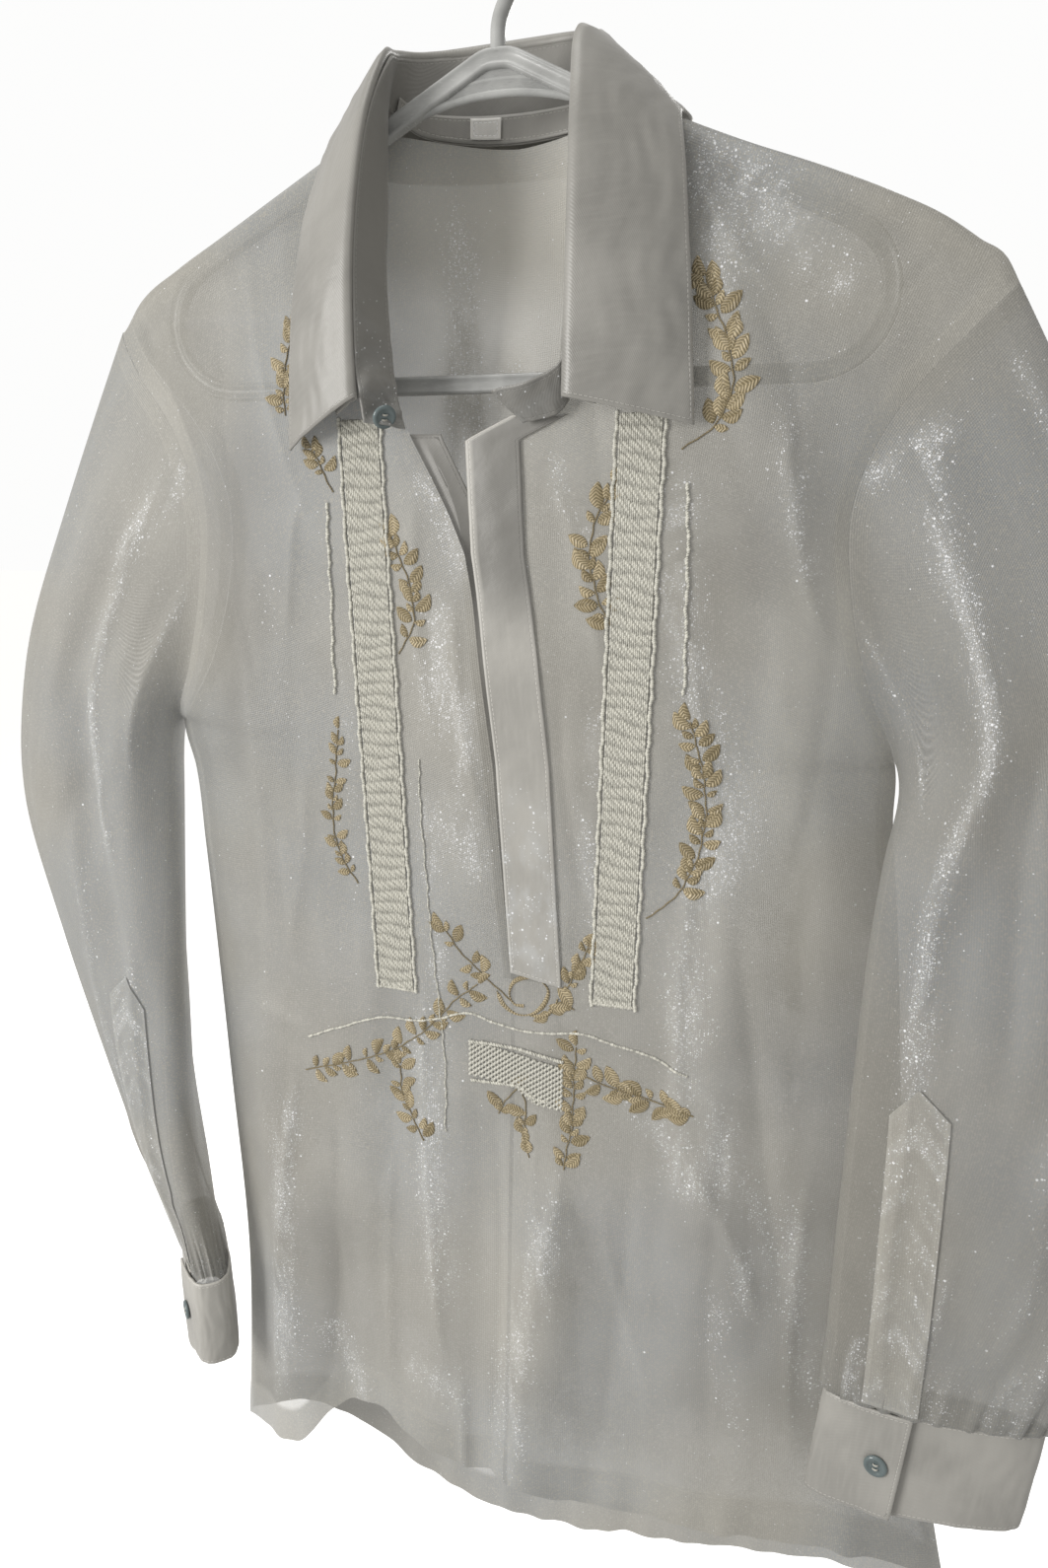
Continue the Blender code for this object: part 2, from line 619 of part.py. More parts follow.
def make_sleeve_plackets(cloth):
    """The strip over each sleeve's slit, with a pointed top, on the sleeve's front."""
    for side, word in ((WEARERS_RIGHT, "right"), (WEARERS_LEFT, "left")):
        share = np.linspace(SLEEVE_PLACKET_TOP, 0.993, 13)[:, None]
        across = np.linspace(-1, 1, 5)[None, :]
        point = SLEEVE_PLACKET_POINT * (1 - np.abs(across)) * np.clip(1 - (share - share[0]) / 0.05, 0, 1)
        share = share - point
        down = (share - SLEEVE_PLACKET_TOP) / (1 - SLEEVE_PLACKET_TOP)
        middle = SLEEVE_PLACKET_TOP_ANGLE + (SLEEVE_PLACKET_ANGLE - SLEEVE_PLACKET_TOP_ANGLE) * down
        one_way = sleeve_points(side, share, np.radians(middle - 1))
        other_way = sleeve_points(side, share, np.radians(middle + 1))
        per_degree = np.linalg.norm(other_way - one_way, axis=-1) / 2
        angle = np.radians(middle - across * SLEEVE_PLACKET_WIDTH / 2 / per_degree)
        grid = sleeve_points(side, share, angle, lift=LAYER + 0.4)
        sheet(f"sleeve_placket_{word}", [grid], 1.0, cloth)


def stand_points(along, up):
    """Points of the collar's stand: along it from the wearer's right end, and up from its seam to its top."""
    along, up = np.broadcast_arrays(np.asarray(along, float), np.asarray(up, float))
    knots = np.linspace(0, 1, len(COLLAR_STAND))
    seam = np.stack([through(knots, column(COLLAR_STAND, n), along) for n in (0, 1, 2)], axis=-1)
    top = np.stack([through(knots, column(COLLAR_STAND, n), along) for n in (3, 4, 5)], axis=-1)
    return seam + (top - seam) * up[..., None]


def make_collar(satin):
    steps = np.linspace(0, 1, COLLAR_STEPS + 1)
    sheet("collar_stand", [stand_points(steps[None, :], np.linspace(0, 1, 3)[:, None])], WALL, satin)
    knots = np.linspace(0, 1, len(COLLAR_LEAF))
    fold = np.stack([through(knots, column(COLLAR_LEAF, n), steps) for n in (0, 1, 2)], axis=-1)
    edge = np.stack([through(knots, column(COLLAR_LEAF, n), steps) for n in (3, 4, 5)], axis=-1)
    outward = np.cross(np.gradient(fold, axis=0), edge - fold)
    outward = outward / np.linalg.norm(outward, axis=1, keepdims=True)
    across = np.linspace(0, 1, 6)[:, None, None]
    bulge = through(knots, column(COLLAR_LEAF, 6), steps)[:, None] * np.sin(pi * across) ** 0.8
    sheet("collar_leaf", [fold * (1 - across) + edge * across + outward * bulge], LEAF_WALL, satin)


def make_plackets(satin, cloth):
    level = np.linspace(PLACKET_TOP_LEVEL, PLACKET_BOTTOM_LEVEL, 21)[:, None]
    across = np.linspace(0, 1, 5)[None, :]
    x = slit_x(WEARERS_LEFT, level) + across * PLACKET_WIDTH
    sheet("over_placket", [on_panel(FRONT, x, level, LAYER)], WALL, satin)
    x = slit_x(WEARERS_RIGHT, level) - UNDERLAP_INSET + across * (UNDERLAP_INSET + UNDERLAP_REACH)
    sheet("under_placket", [on_panel(FRONT, x, level, -LAYER - 0.5)], WALL, cloth)


def make_bands(thread):
    lift = LAYER - (WALL - BAND_WALL) / 2
    for side, word in ((WEARERS_RIGHT, "right"), (WEARERS_LEFT, "left")):
        top_x, top, bottom_x, bottom = BANDS[side]
        along = np.linspace(0, 1, 22)[:, None]
        across = np.linspace(-0.5, 0.5, 5)[None, :] * BAND_WIDTH
        x = top_x + (bottom_x - top_x) * along + across
        grid = on_panel(FRONT, x, top + (bottom - top) * along + 0 * across, lift)
        sheet(f"ladder_band_{word}", [grid], BAND_WALL, thread)
    along = np.linspace(0, 1, 9)[:, None]
    across = np.linspace(0, 1, 4)[None, :]
    upper = np.interp(along, column(BOX_BAND, 0), column(BOX_BAND, 1))
    lower = np.interp(along, column(BOX_BAND, 0), column(BOX_BAND, 2))
    x = BOX_BAND_LEFT + (BOX_BAND_RIGHT - BOX_BAND_LEFT) * along + 0 * across
    grid = on_panel(FRONT, x, upper + (lower - upper) * across, lift)
    sheet("box_band", [grid], BAND_WALL, thread)


def on_stand(along, up, lift):
    """Points of the collar's stand, moved inward from it by lift."""
    points = stand_points(along, up)
    beside = stand_points(along + 0.01, up) - points
    above = stand_points(along, up + 0.05) - points
    normal = np.cross(beside, above)
    return points + lift * normal / np.linalg.norm(normal, axis=-1, keepdims=True)


def make_neck_facing(cloth, tape):
    """The tape over the collar's seam inside the back of the neck, and the label on it."""
    up = np.linspace(0.0, NECK_FACING_HEIGHT, 3)[:, None]
    along = np.linspace(*NECK_FACING, 21)[None, :]
    sheet("neck_facing", [on_stand(along, up, FACING_LIFT)], 1.0, cloth)
    up = np.linspace(*LABEL_HEIGHT, 3)[:, None]
    along = np.linspace(*LABEL, 3)[None, :]
    sheet("size_label", [on_stand(along, up, LABEL_LIFT)], 1.0, tape)


def make_button(name, centre, normal, plastic):
    """A round button: a short cylinder with its rim rounded, facing along the normal."""
    mesh = bpy.data.meshes.new(name)
    shape = bmesh.new()
    bmesh.ops.create_cone(
        shape, cap_ends=True, segments=20, radius1=BUTTON_RADIUS * MM, radius2=BUTTON_RADIUS * MM,
        depth=BUTTON_THICKNESS * MM,
    )
    shape.to_mesh(mesh)
    shape.free()
    part = add_object(name, mesh, plastic)
    rim = part.modifiers.new("rim", "BEVEL")
    rim.width = 0.7 * MM
    rim.segments = 1
    normal = np.asarray(normal, float) / np.linalg.norm(normal)
    middle = np.asarray(centre, float) + normal * BUTTON_THICKNESS / 2
    part.location = to_world(middle)[0]
    part.rotation_mode = "QUATERNION"
    part.rotation_quaternion = Vector(normal).to_track_quat("Z", "Y")
    return part


def make_buttons(plastic):
    for side, word in ((WEARERS_RIGHT, "right"), (WEARERS_LEFT, "left")):
        angle = radians(CUFF_BUTTON_ANGLE)
        here = cuff_points(side, CUFF_BUTTON_SHARE, angle)
        beside = cuff_points(side, CUFF_BUTTON_SHARE, angle + 0.02) - here
        below = cuff_points(side, CUFF_BUTTON_SHARE + 0.02, angle) - here
        normal = np.cross(beside, below)
        normal *= np.sign(normal @ (here - cuff_points(side, CUFF_BUTTON_SHARE, angle + pi)))
        normal /= np.linalg.norm(normal)
        make_button(f"button_cuff_{word}", here + normal * (CUFF_WALL / 2 + 0.3), normal, plastic)
    seat = on_stand(*COLLAR_BUTTON, WALL / 2 + 0.3)
    make_button("button_collar", seat, seat - on_stand(*COLLAR_BUTTON, 0.0), plastic)


# ---------------------------------------------------------------- the hanger

def flat_plate(name, outlines, thickness, corner=0.0):
    """A plate in the hanger's plane: closed outlines of (x, level), the first outside and the rest holes."""
    curve = bpy.data.curves.new(name, "CURVE")
    curve.dimensions = "2D"
    curve.fill_mode = "BOTH"
    curve.extrude = (thickness / 2 - corner) * MM
    curve.bevel_depth = corner * MM
    curve.bevel_resolution = 2
    curve.offset = -corner * MM
    for outline in outlines:
        spline = curve.splines.new("POLY")
        spline.points.add(len(outline) - 1)
        for point, (x, level) in zip(spline.points, outline):
            point.co = (x * MM, (level - ROD_ABOVE_BAR) * MM, 0.0, 1.0)
        spline.use_cyclic_u = True
    plate = bpy.data.objects.new(name, curve)
    bpy.data.collections[COLLECTION].objects.link(plate)
    plate.rotation_euler = (radians(90), 0, 0)
    return plate


def rod_curve(name, path, diameter):
    curve = bpy.data.curves.new(name, "CURVE")
    curve.dimensions = "3D"
    curve.bevel_depth = diameter / 2 * MM
    curve.bevel_resolution = 2
    curve.use_fill_caps = True
    spline = curve.splines.new("POLY")
    spline.points.add(len(path) - 1)
    for point, place in zip(spline.points, to_world(path)):
        point.co = (*place, 1.0)
    rod = bpy.data.objects.new(name, curve)
    bpy.data.collections[COLLECTION].objects.link(rod)
    return rod


def made_mesh(source):
    """The curve as a welded mesh object of the same name."""
    name = source.name
    graph = bpy.context.evaluated_depsgraph_get()
    mesh = bpy.data.meshes.new_from_object(source.evaluated_get(graph))
    mesh.transform(source.matrix_world)
    bpy.data.objects.remove(source)
    shape = bmesh.new()
    shape.from_mesh(mesh)
    bmesh.ops.remove_doubles(shape, verts=shape.verts, dist=0.01 * MM)
    bmesh.ops.recalc_face_normals(shape, faces=shape.faces)
    shape.to_mesh(mesh)
    shape.free()
    made = bpy.data.objects.new(name, mesh)
    bpy.data.collections[COLLECTION].objects.link(made)
    return made


def arc(centre, radius, start, end, count):
    turn = np.radians(np.linspace(start, end, count))
    return [(centre[0] + radius * cos(t), centre[1] + radius * sin(t)) for t in turn]


def hanger_outline(inset):
    """The closed outline of the hanger's frame, moved in by inset: two arms, round ends and a bar."""
    lean = np.degrees(np.arctan(ARM_SLOPE))
    radius = END_RADIUS - inset
    end_level = END_RADIUS - BAR_HEIGHT / 2
    touch_level = end_level + END_RADIUS * cos(radians(lean))
    end_x = (APEX_LEVEL - touch_level) / ARM_SLOPE - END_RADIUS * sin(radians(lean))
    points = []
    points += arc((end_x, end_level), radius, -90, 90 - lean, 9)
    apex = APEX_LEVEL - inset / cos(radians(lean))
    apex -= ARM_SLOPE * APEX_HALF_WIDTH
    points += [(APEX_HALF_WIDTH, apex), (-APEX_HALF_WIDTH, apex)]
    points += arc((-end_x, end_level), radius, 90 + lean, 270, 9)
    return points


def hook_path():
    """The hook: up from the apex, round to the side and over the rod, with its mouth on the wearer's right."""
    radius = HOOK_INNER_RADIUS + HOOK_ROD / 2
    centre = (0.0, ROD_ABOVE_BAR - HOOK_INNER_RADIUS)
    over = arc(centre, radius, 205, -40, 22)
    end_x, end_level = over[-1]
    root = (0.0, APEX_LEVEL - 6.0)
    stem = []
    for t in np.linspace(0.12, 1.0, 9):
        x = end_x * (1 - ease(t * 1.25))
        stem.append((x, end_level + (root[1] - end_level) * t))
    return [(x, 0.0, level) for x, level in over + stem]


def web_outline():
    drop = WEB_CENTRE_LEVEL - WEB_END_LEVEL
    lower = [(t * WEB_REACH, WEB_CENTRE_LEVEL - drop * t * t) for t in np.linspace(-1, 1, 15)]
    return lower + [(0.0, APEX_LEVEL - ARM_WIDTH / 2)]


def make_hanger(plastic):
    outer = hanger_outline(0.0)
    inner = hanger_outline(ARM_WIDTH)
    frame = made_mesh(flat_plate("hanger", [outer, inner[::-1]], ARM_THICKNESS, ARM_CORNER))
    web = made_mesh(flat_plate("hanger_web", [web_outline()], WEB_THICKNESS))
    hook = made_mesh(rod_curve("hanger_hook", hook_path(), HOOK_ROD))
    cutters = bpy.data.collections["joined_into_the_hanger"]
    for piece in (web, hook):
        bpy.data.collections[COLLECTION].objects.unlink(piece)
        cutters.objects.link(piece)
        piece.hide_render = True
        piece.display_type = "WIRE"
        join = frame.modifiers.new(piece.name, "BOOLEAN")
        join.operation = "UNION"
        join.object = piece
    frame.data.materials.append(plastic)
    frame.data.shade_smooth()
    frame.data.set_sharp_from_angle(angle=radians(40))


def main():
    for old in list(bpy.data.objects):
        bpy.data.objects.remove(old)
    for name in (COLLECTION, "joined_into_the_hanger"):
        bpy.context.scene.collection.children.link(bpy.data.collections.new(name))
    cloth = material("sheer_organza", (0.66, 0.65, 0.60), 0.55, 0.3)
    satin = material("satin_facing", (0.62, 0.61, 0.57), 0.40, 0.2)
    thread = material("cream_thread", (0.74, 0.72, 0.63), 0.50, 0.1)
    tape = material("label_tape", (0.80, 0.79, 0.75), 0.60)
    button_plastic = material("blue_grey_button", (0.30, 0.36, 0.37), 0.25)
    hanger_plastic = material("clear_white_plastic", (0.78, 0.80, 0.80), 0.20)
    make_panels(cloth)
    make_sleeves(cloth)
    make_cuffs(satin)
    make_sleeve_plackets(cloth)
    make_collar(satin)
    make_plackets(satin, cloth)
    make_bands(thread)
    make_neck_facing(cloth, tape)
    make_buttons(button_plastic)
    make_hanger(hanger_plastic)


main()
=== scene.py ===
"""Barong tagalog shirt on a plastic hanger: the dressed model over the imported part.

Metres, +Z up, with the origin where the rod touches the inside of the hanger's hook. The shirt's front
faces -Y and the wearer's left is +X. Tables are in millimetres, and a "level" in them is a height above
the middle of the hanger's bottom bar.
"""

import json
from math import cos, pi, radians, sin

import bmesh
import bpy
import numpy as np
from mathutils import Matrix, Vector

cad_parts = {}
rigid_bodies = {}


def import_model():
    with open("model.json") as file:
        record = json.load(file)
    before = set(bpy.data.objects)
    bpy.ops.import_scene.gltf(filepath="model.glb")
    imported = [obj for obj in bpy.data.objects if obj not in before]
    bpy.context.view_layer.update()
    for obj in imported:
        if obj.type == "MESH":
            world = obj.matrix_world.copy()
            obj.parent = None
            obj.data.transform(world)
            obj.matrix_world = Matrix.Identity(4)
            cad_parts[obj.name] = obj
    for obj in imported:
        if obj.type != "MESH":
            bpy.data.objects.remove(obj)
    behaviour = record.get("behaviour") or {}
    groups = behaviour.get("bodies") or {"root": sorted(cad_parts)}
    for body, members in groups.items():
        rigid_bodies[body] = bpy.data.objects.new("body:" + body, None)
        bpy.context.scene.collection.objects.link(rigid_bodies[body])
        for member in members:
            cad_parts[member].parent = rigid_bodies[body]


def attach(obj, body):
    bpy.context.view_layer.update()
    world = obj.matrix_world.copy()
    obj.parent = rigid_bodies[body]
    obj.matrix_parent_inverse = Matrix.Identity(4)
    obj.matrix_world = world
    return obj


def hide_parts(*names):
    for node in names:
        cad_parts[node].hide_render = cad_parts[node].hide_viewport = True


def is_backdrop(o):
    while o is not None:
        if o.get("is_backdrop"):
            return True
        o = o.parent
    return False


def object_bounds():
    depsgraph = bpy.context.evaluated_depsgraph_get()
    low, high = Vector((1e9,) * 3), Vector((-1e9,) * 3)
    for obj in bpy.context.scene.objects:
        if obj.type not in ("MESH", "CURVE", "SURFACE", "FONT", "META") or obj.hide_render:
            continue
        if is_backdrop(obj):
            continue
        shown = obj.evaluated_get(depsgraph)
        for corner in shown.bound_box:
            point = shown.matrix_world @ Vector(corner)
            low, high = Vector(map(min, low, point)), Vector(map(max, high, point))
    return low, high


bl_info = {
    "name": "Barong Tagalog Shirt",
    "version": (1, 0, 0),
    "blender": (4, 5, 0),
    "location": "3D Viewport > Sidebar > Barong",
    "description": "Builds a sheer embroidered barong tagalog shirt hung on its hanger",
    "category": "Object",
}

for startup_object in list(bpy.data.objects):
    bpy.data.objects.remove(startup_object)
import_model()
CAD_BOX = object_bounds()

MM = 0.001

# Driving sizes, in millimetres.
ROD_ABOVE_BAR = 225.0
WALL = 1.2
SEAM = 0.1  # half the gap between two sheets at their seam
LAYER = 2.0  # from the middle of a wall to the middle of the layer sewn on it
FRONT, BACK = -1, 1
WEARERS_RIGHT, WEARERS_LEFT = -1, 1
SIDES = ((WEARERS_RIGHT, "right"), (WEARERS_LEFT, "left"))

# The hanger.
APEX_LEVEL = 148.0
ARM_SLOPE = 0.5
ARM_THICKNESS = 8.0
ARM_WIDTH = 9.0
BEAM_ROUNDNESS = 0.55
BEAM_GROOVE = 1.3
BAR_HEIGHT = 8.0
END_RADIUS = 37.0
WEB_THICKNESS = 2.0
WEB_RIBS = ((0.0, 1.9), (6.0, 1.2))  # how far each is from the web's lower edge, and its radius
WEB_REACH = 84.0
WEB_CENTRE_LEVEL = 126.0
WEB_END_LEVEL = 99.0
APEX_HALF_WIDTH = 6.0
HOOK_INNER_RADIUS = 20.0
HOOK_ROD = 7.0
HOOK_ROOT_DEPTH = 6.0  # how far its stem goes into the apex

# The body.
SHOULDER_ROLL = 6.0
SHOULDER_SPREAD = 110.0
NECK_REACH = 66.0
NECK_BULGE = 19.0
BACK_NECK_LEVEL = 111.0
BACK_NECK_DIP = 5.8
TIP_LEVEL = 33.0
ABOVE_TIP_REACH = 250.0  # how wide the panels count as above the head of the sleeve
UNDERARM_LEVEL = -176.0
ARMHOLE_MIDDLE = (TIP_LEVEL + UNDERARM_LEVEL) / 2
ARMHOLE_HALF = (TIP_LEVEL - UNDERARM_LEVEL) / 2
ARMHOLE_DEPTH = 15.5
SIDE_ROUNDNESS = 4.0

PANEL_ROWS = 230
PANEL_COLUMNS = 86
SLEEVE_ROWS = 190
SLEEVE_SIDES = 150
CUFF_ROWS, CUFF_COLUMNS = 40, 220
LEAF_ROWS = 44
STAND_ROWS = 26
PLACKET_ROWS, PLACKET_COLUMNS = 180, 26
WRIST_PLACKET_ROWS = 90

SHOULDER_LINE = (  # past the hanger's end the shoulder droops to the head of the sleeve
    # reach, level on the wearer's right, level on the wearer's left
    (0, 149.6, 149.6),
    (66, 116.8, 116.8),
    (110, 94.8, 98),
    (150, 74.8, 83),
    (175, 62.5, 72.5),
    (200, 47.5, 60),
    (213, 33, 51),
    (225, 33, 42),
    (230, 33, 33),
)

SIDE_EDGE = (  # the armhole's edge, and under it the side seam
    # level, wearer's right x, wearer's left x
    (33, -213, 230),
    (15, -202, 213),
    (-15, -180, 187),
    (-50, -166, 171),
    (-100, -168, 172),
    (-145, -181, 184),
    (-176, -194, 197),
    (-205, -188.5, 198.5),
    (-250, -186, 204),
    (-400, -180, 219),
    (-520, -176, 233),
    (-655, -184, 261),
)

PANEL_DEPTH = (  # how far each panel stands from the hanger's plane
    # level, front, back
    (120, 22, 20),
    (60, 25, 24),
    (0, 28, 27),
    (-60, 31, 28),
    (-150, 33, 28),
    (-300, 37, 26),
    (-450, 42, 22),
    (-640, 47, 17),
)

ROW_LEVELS = (  # where a row of the panel's grid starts at the side and ends at the middle
    # share of the rows, level at the side, level at the front's middle, level at the back's middle
    (0, 33, 116, 111),
    (0.1, -10, 78, 78),
    (0.2, -60, 28, 30),
    (0.29, -115, -17, -40),
    (0.4, -176, -80, -120),
    (0.5, -240, -165, -200),
    (0.64, -340, -292, -310),
    (0.8, -460, -430, -470),
    (1, -652, -600, -690),
)

NECKLINE = (  # the front's edge at the neck and the slit
    # share of the rows, wearer's right x, wearer's left x
    (0, -58, 66),
    (0.1, -51, 54),
    (0.2, -48, 49),
    (0.26, -44, 45),
    (0.29, -39, 16),
    (0.31, -34, -7),
    (0.4, -7, -4),
    (0.52, 7.4, 9.2),
    (0.64, 17, 17),
    (1, 17, 17),
)

HEM = (
    # x, front level, back level
    (-184, -659, -659),
    (-160, -644, -651),
    (-128, -633, -652),
    (-98, -598, -668),
    (-66, -581, -686),
    (-40, -590, -697),
    (-18, -598, -704),
    (-6, -601, -703),
    (10, -598, -706),
    (35, -602, -704),
    (70, -610, -697),
    (110, -607, -688),
    (160, -604, -679),
    (210, -610, -668),
    (261, -645, -645),
)

FRONT_FOLDS = (  # rise is how far a fold stands out of the panel, and a trough's is negative
    # top x, top level, bottom x, bottom level, half width, rise
    (-140, -330, -136, -640, 20, 8),
    (-92, -470, -88, -660, 17, -9),
    (-22, -360, -28, -600, 20, 6),
    (48, -380, 22, -660, 22, 9),
    (82, -420, 84, -640, 26, -6),
    (132, -210, 120, -420, 18, 6),
    (120, -390, 152, -520, 18, 7),
    (96, 70, 150, -60, 15, 5),
    (148, -30, 160, -210, 17, 7),
    (-150, -10, -128, -210, 18, 6),
    (-8, -110, -4, -270, 18, 4),
    (200, -420, 214, -640, 18, 6),
)

BACK_FOLDS = (
    # top x, top level, bottom x, bottom level, half width, rise
    (-28, 80, -40, -430, 18, 7),
    (34, 90, 52, -300, 18, 6),
    (4, 60, 8, -520, 22, -6),
    (-120, 0, -112, -420, 22, 6),
    (124, -10, 140, -460, 22, 6),
    (-80, -300, -96, -660, 24, 8),
    (20, -380, 24, -690, 24, 8),
    (96, -420, 104, -680, 24, -6),
    (180, -360, 196, -660, 22, 7),
    (-150, -440, -152, -650, 18, -5),
)

SLEEVES = {
    WEARERS_RIGHT: (  # outer is the fold away from the body, and inner the one beside it
        # share, outer x, outer level, inner x, inner level, y, swing of the outer fold, puff
        (0, -213, 33, -196, -176, 0, 0, 16),
        (0.1, -236, -10, -198.5, -181, 0, 0, 20),
        (0.22, -264, -68, -199, -194, -1, 0, 24),
        (0.36, -298, -145, -197, -226, -3, 4, 25),
        (0.5, -312, -226, -195, -274, -5, 12, 25),
        (0.64, -298, -313, -194, -341, -6, 23, 23),
        (0.8, -264, -424, -192, -434, -8, 30, 19),
        (1, -232, -519, -177, -521, -9, 33, 13),
    ),
    WEARERS_LEFT: (
        # share, outer x, outer level, inner x, inner level, y, swing of the outer fold, puff
        (0, 230, 33, 198, -176, 0, 0, 16),
        (0.1, 251, -6, 199.5, -180, -5, 0, 19),
        (0.22, 279, -62, 200, -190, -14, 0, 22),
        (0.36, 311, -140, 195, -216, -28, 0, 22),
        (0.5, 328, -220, 191, -262, -40, -2, 21),
        (0.64, 328, -300, 189, -322, -48, -4, 19),
        (0.8, 314, -392, 187, -403, -52, -5, 17),
        (1, 291, -478, 186, -489, -53, -5, 12),
    ),
}

SLEEVE_FOLDS = {
    WEARERS_RIGHT: (
        # top angle, top share, bottom angle, bottom share, half width in degrees, rise
        (70, 0.1, 118, 0.62, 17, -6),
        (120, 0.06, 148, 0.58, 15, 6),
        (30, 0.4, 62, 0.94, 18, 5),
        (150, 0.62, 128, 0.97, 17, -5),
        (250, 0.12, 230, 0.7, 20, 5),
        (300, 0.5, 285, 0.95, 20, -5),
    ),
    WEARERS_LEFT: (
        # top angle, top share, bottom angle, bottom share, half width in degrees, rise
        (62, 0.05, 142, 0.5, 15, 7),
        (98, 0.05, 150, 0.36, 14, -6),
        (60, 0.3, 52, 0.8, 18, -5),
        (34, 0.6, 40, 0.96, 17, 5),
        (250, 0.12, 230, 0.7, 20, 5),
        (300, 0.5, 285, 0.95, 20, -5),
    ),
}

# The cuffs, each a strip that laps over itself beside the sleeve's placket.
CUFF_HEIGHT = 60.0
CUFF_WALL = 1.6
CUFF_SEAM = 0.6
CUFF_HALF_WIDTH = {WEARERS_RIGHT: 45.0, WEARERS_LEFT: 51.0}
CUFF_HALF_DEPTH = {WEARERS_RIGHT: 14.5, WEARERS_LEFT: 11.0}
CUFF_ROUNDNESS = {WEARERS_RIGHT: 0.62, WEARERS_LEFT: 1.0}  # 1 is an ellipse, and less is squarer
CUFF_FREE_EDGE = 99.0  # degrees round from the outer fold, on the sleeve's front
CUFF_OVERLAP = 24.0
CUFF_LAP_STEP = 2.2
CUFF_DROP = {WEARERS_RIGHT: 2.0, WEARERS_LEFT: -8.0}  # how much lower its outer bottom corner hangs
CUFF_LEAN = {WEARERS_RIGHT: 2.0, WEARERS_LEFT: -6.0}  # how far its bottom stands to one side of its top
CUFF_BUTTON_ANGLE = 113.0
CUFF_BUTTON_SHARE = 0.50

SLEEVE_PLACKET_WIDTH = 26.0
SLEEVE_PLACKET_TOP_ANGLE = 124.0
SLEEVE_PLACKET_ANGLE = 112.0
SLEEVE_PLACKET_TOP = 0.655
SLEEVE_PLACKET_POINT = 0.03

COLLAR_STAND = (  # from the wearer's right end, round the back of the neck, to the wearer's left end
    # seam x, seam y, seam level, top x, top y, top level
    (-37.5, -31, -22, -52.5, -44.5, -19.5),
    (-43, -29.5, 3, -55, -46.5, 12),
    (-48, -24, 45, -54, -45, 60),
    (-50, -15.5, 86, -50.5, -37, 106),
    (-52.5, -7.8, 114, -47, -18, 138),
    (-57, 3.5, 126, -51, 5, 147.5),
    (-48, 20, 118.5, -46, 22, 152),
    (-26, 29, 115, -28, 35, 156),
    (0, 32, 114, 0, 39, 158),
    (26, 29.5, 115, 26, 35, 157),
    (48, 22, 117, 41, 22, 152),
    (61, 11, 121, 45, 4, 145),
    (62.5, -4, 118.7, 42, -18, 138),
    (53, -17, 84, 44.5, -37, 106),
    (48.5, -24, 45, 45.5, -45, 60),
    (46.5, -31, 4, 44.5, -46, 16),
    (41, -34.5, -15.5, 40, -45.5, 1),
    (23, -35, -20.5, 9.5, -42, -7.5),
)

COLLAR_LEAF = (  # the fold runs just outside the stand's top
    # fold x, fold y, fold level, edge x, edge y, edge level, how far it bulges between them
    (-56.5, -47.8, -9, -98, -33, -31, 3),
    (-57, -48.4, 20, -96, -32.5, 12, 3.5),
    (-56, -47, 62, -92, -27, 55, 3.5),
    (-52.5, -39, 108, -88, -17, 90, 1.5),
    (-50, -19.5, 140.5, -86, -4, 108, 0.5),
    (-53.5, 5, 150, -86, 10, 108, 0),
    (-47.5, 24, 154.8, -76, 31, 104, 0.5),
    (-29, 37, 158.8, -44, 44, 102, 1.5),
    (0, 41.2, 160.8, 0, 49, 102, 2),
    (27, 37, 159.8, 44, 44, 102, 1.5),
    (42.5, 24, 154.8, 76, 31, 105, 1),
    (46.8, 4.5, 147.5, 88, 10, 109, 1),
    (43.5, -19.5, 140.5, 86, -6, 109, 1.5),
    (46.5, -39, 108.5, 90, -19, 90, 2.5),
    (47.5, -47, 62, 95, -28, 52, 3.5),
    (46.5, -48.5, 20, 98.5, -33, 14, 3.5),
    (46, -48.5, -11, 101, -34, -23, 3),
)
COLLAR_STEPS = 260
NECK_MIDDLE = (-5.0, -8.0, 60.0)
FOLD_RADIUS = 2.3  # of the leaf's rolled fold

PLACKET_WIDTH = 27.0
PLACKET_TOP_LEVEL = -24.0
PLACKET_BOTTOM_LEVEL = -296.0
OVER_PLACKET_RISE = 7.0  # how much higher the over placket starts
UNDERLAP_INSET = 5.0
UNDERLAP_REACH = 15.0

BANDS = {  # the broad ladders of thread down each side of the front
    # top x, top level, bottom x, bottom level
    WEARERS_RIGHT: (-62, -17, -47.5, -309),
    WEARERS_LEFT: (76.5, -17, 71, -303),
}
BAND_WIDTH = 23.0

BOX_BAND = (  # the small woven box under the slit
    # share along it, upper level, lower level
    (0, -331, -353),
    (0.5, -335, -356),
    (0.7, -337, -364),
    (1, -340, -366),
)
BOX_BAND_LEFT = -6.0
BOX_BAND_RIGHT = 46.0
BOX_THREADS = 30
BOX_PITCH = 2.9

NECK_FACING = (0.31, 0.69)  # from and to, as shares of the stand's length
NECK_FACING_HEIGHT = 0.30  # as a share of the stand's height
FACING_LIFT = 2.0
LABEL = (0.416, 0.451)
LABEL_HEIGHT = (0.03, 0.26)
LABEL_LIFT = 3.4
LABEL_COLOUR = (0.66, 0.65, 0.62)

COLLAR_BUTTON = (0.012, 0.45)  # along the stand and up it
COLLAR_BUTTON_DROOP = np.array((0.0, 0.0, 0.62))  # how its face turns down, as it hangs by its thread
COLLAR_BUTTON_HANG = np.array((0.0, 1.6, 1.0))


# ---------------------------------------------------------------- curves and fields

def column(table, number):
    """One column of a table's rows."""
    return np.array([row[number] for row in table], float)


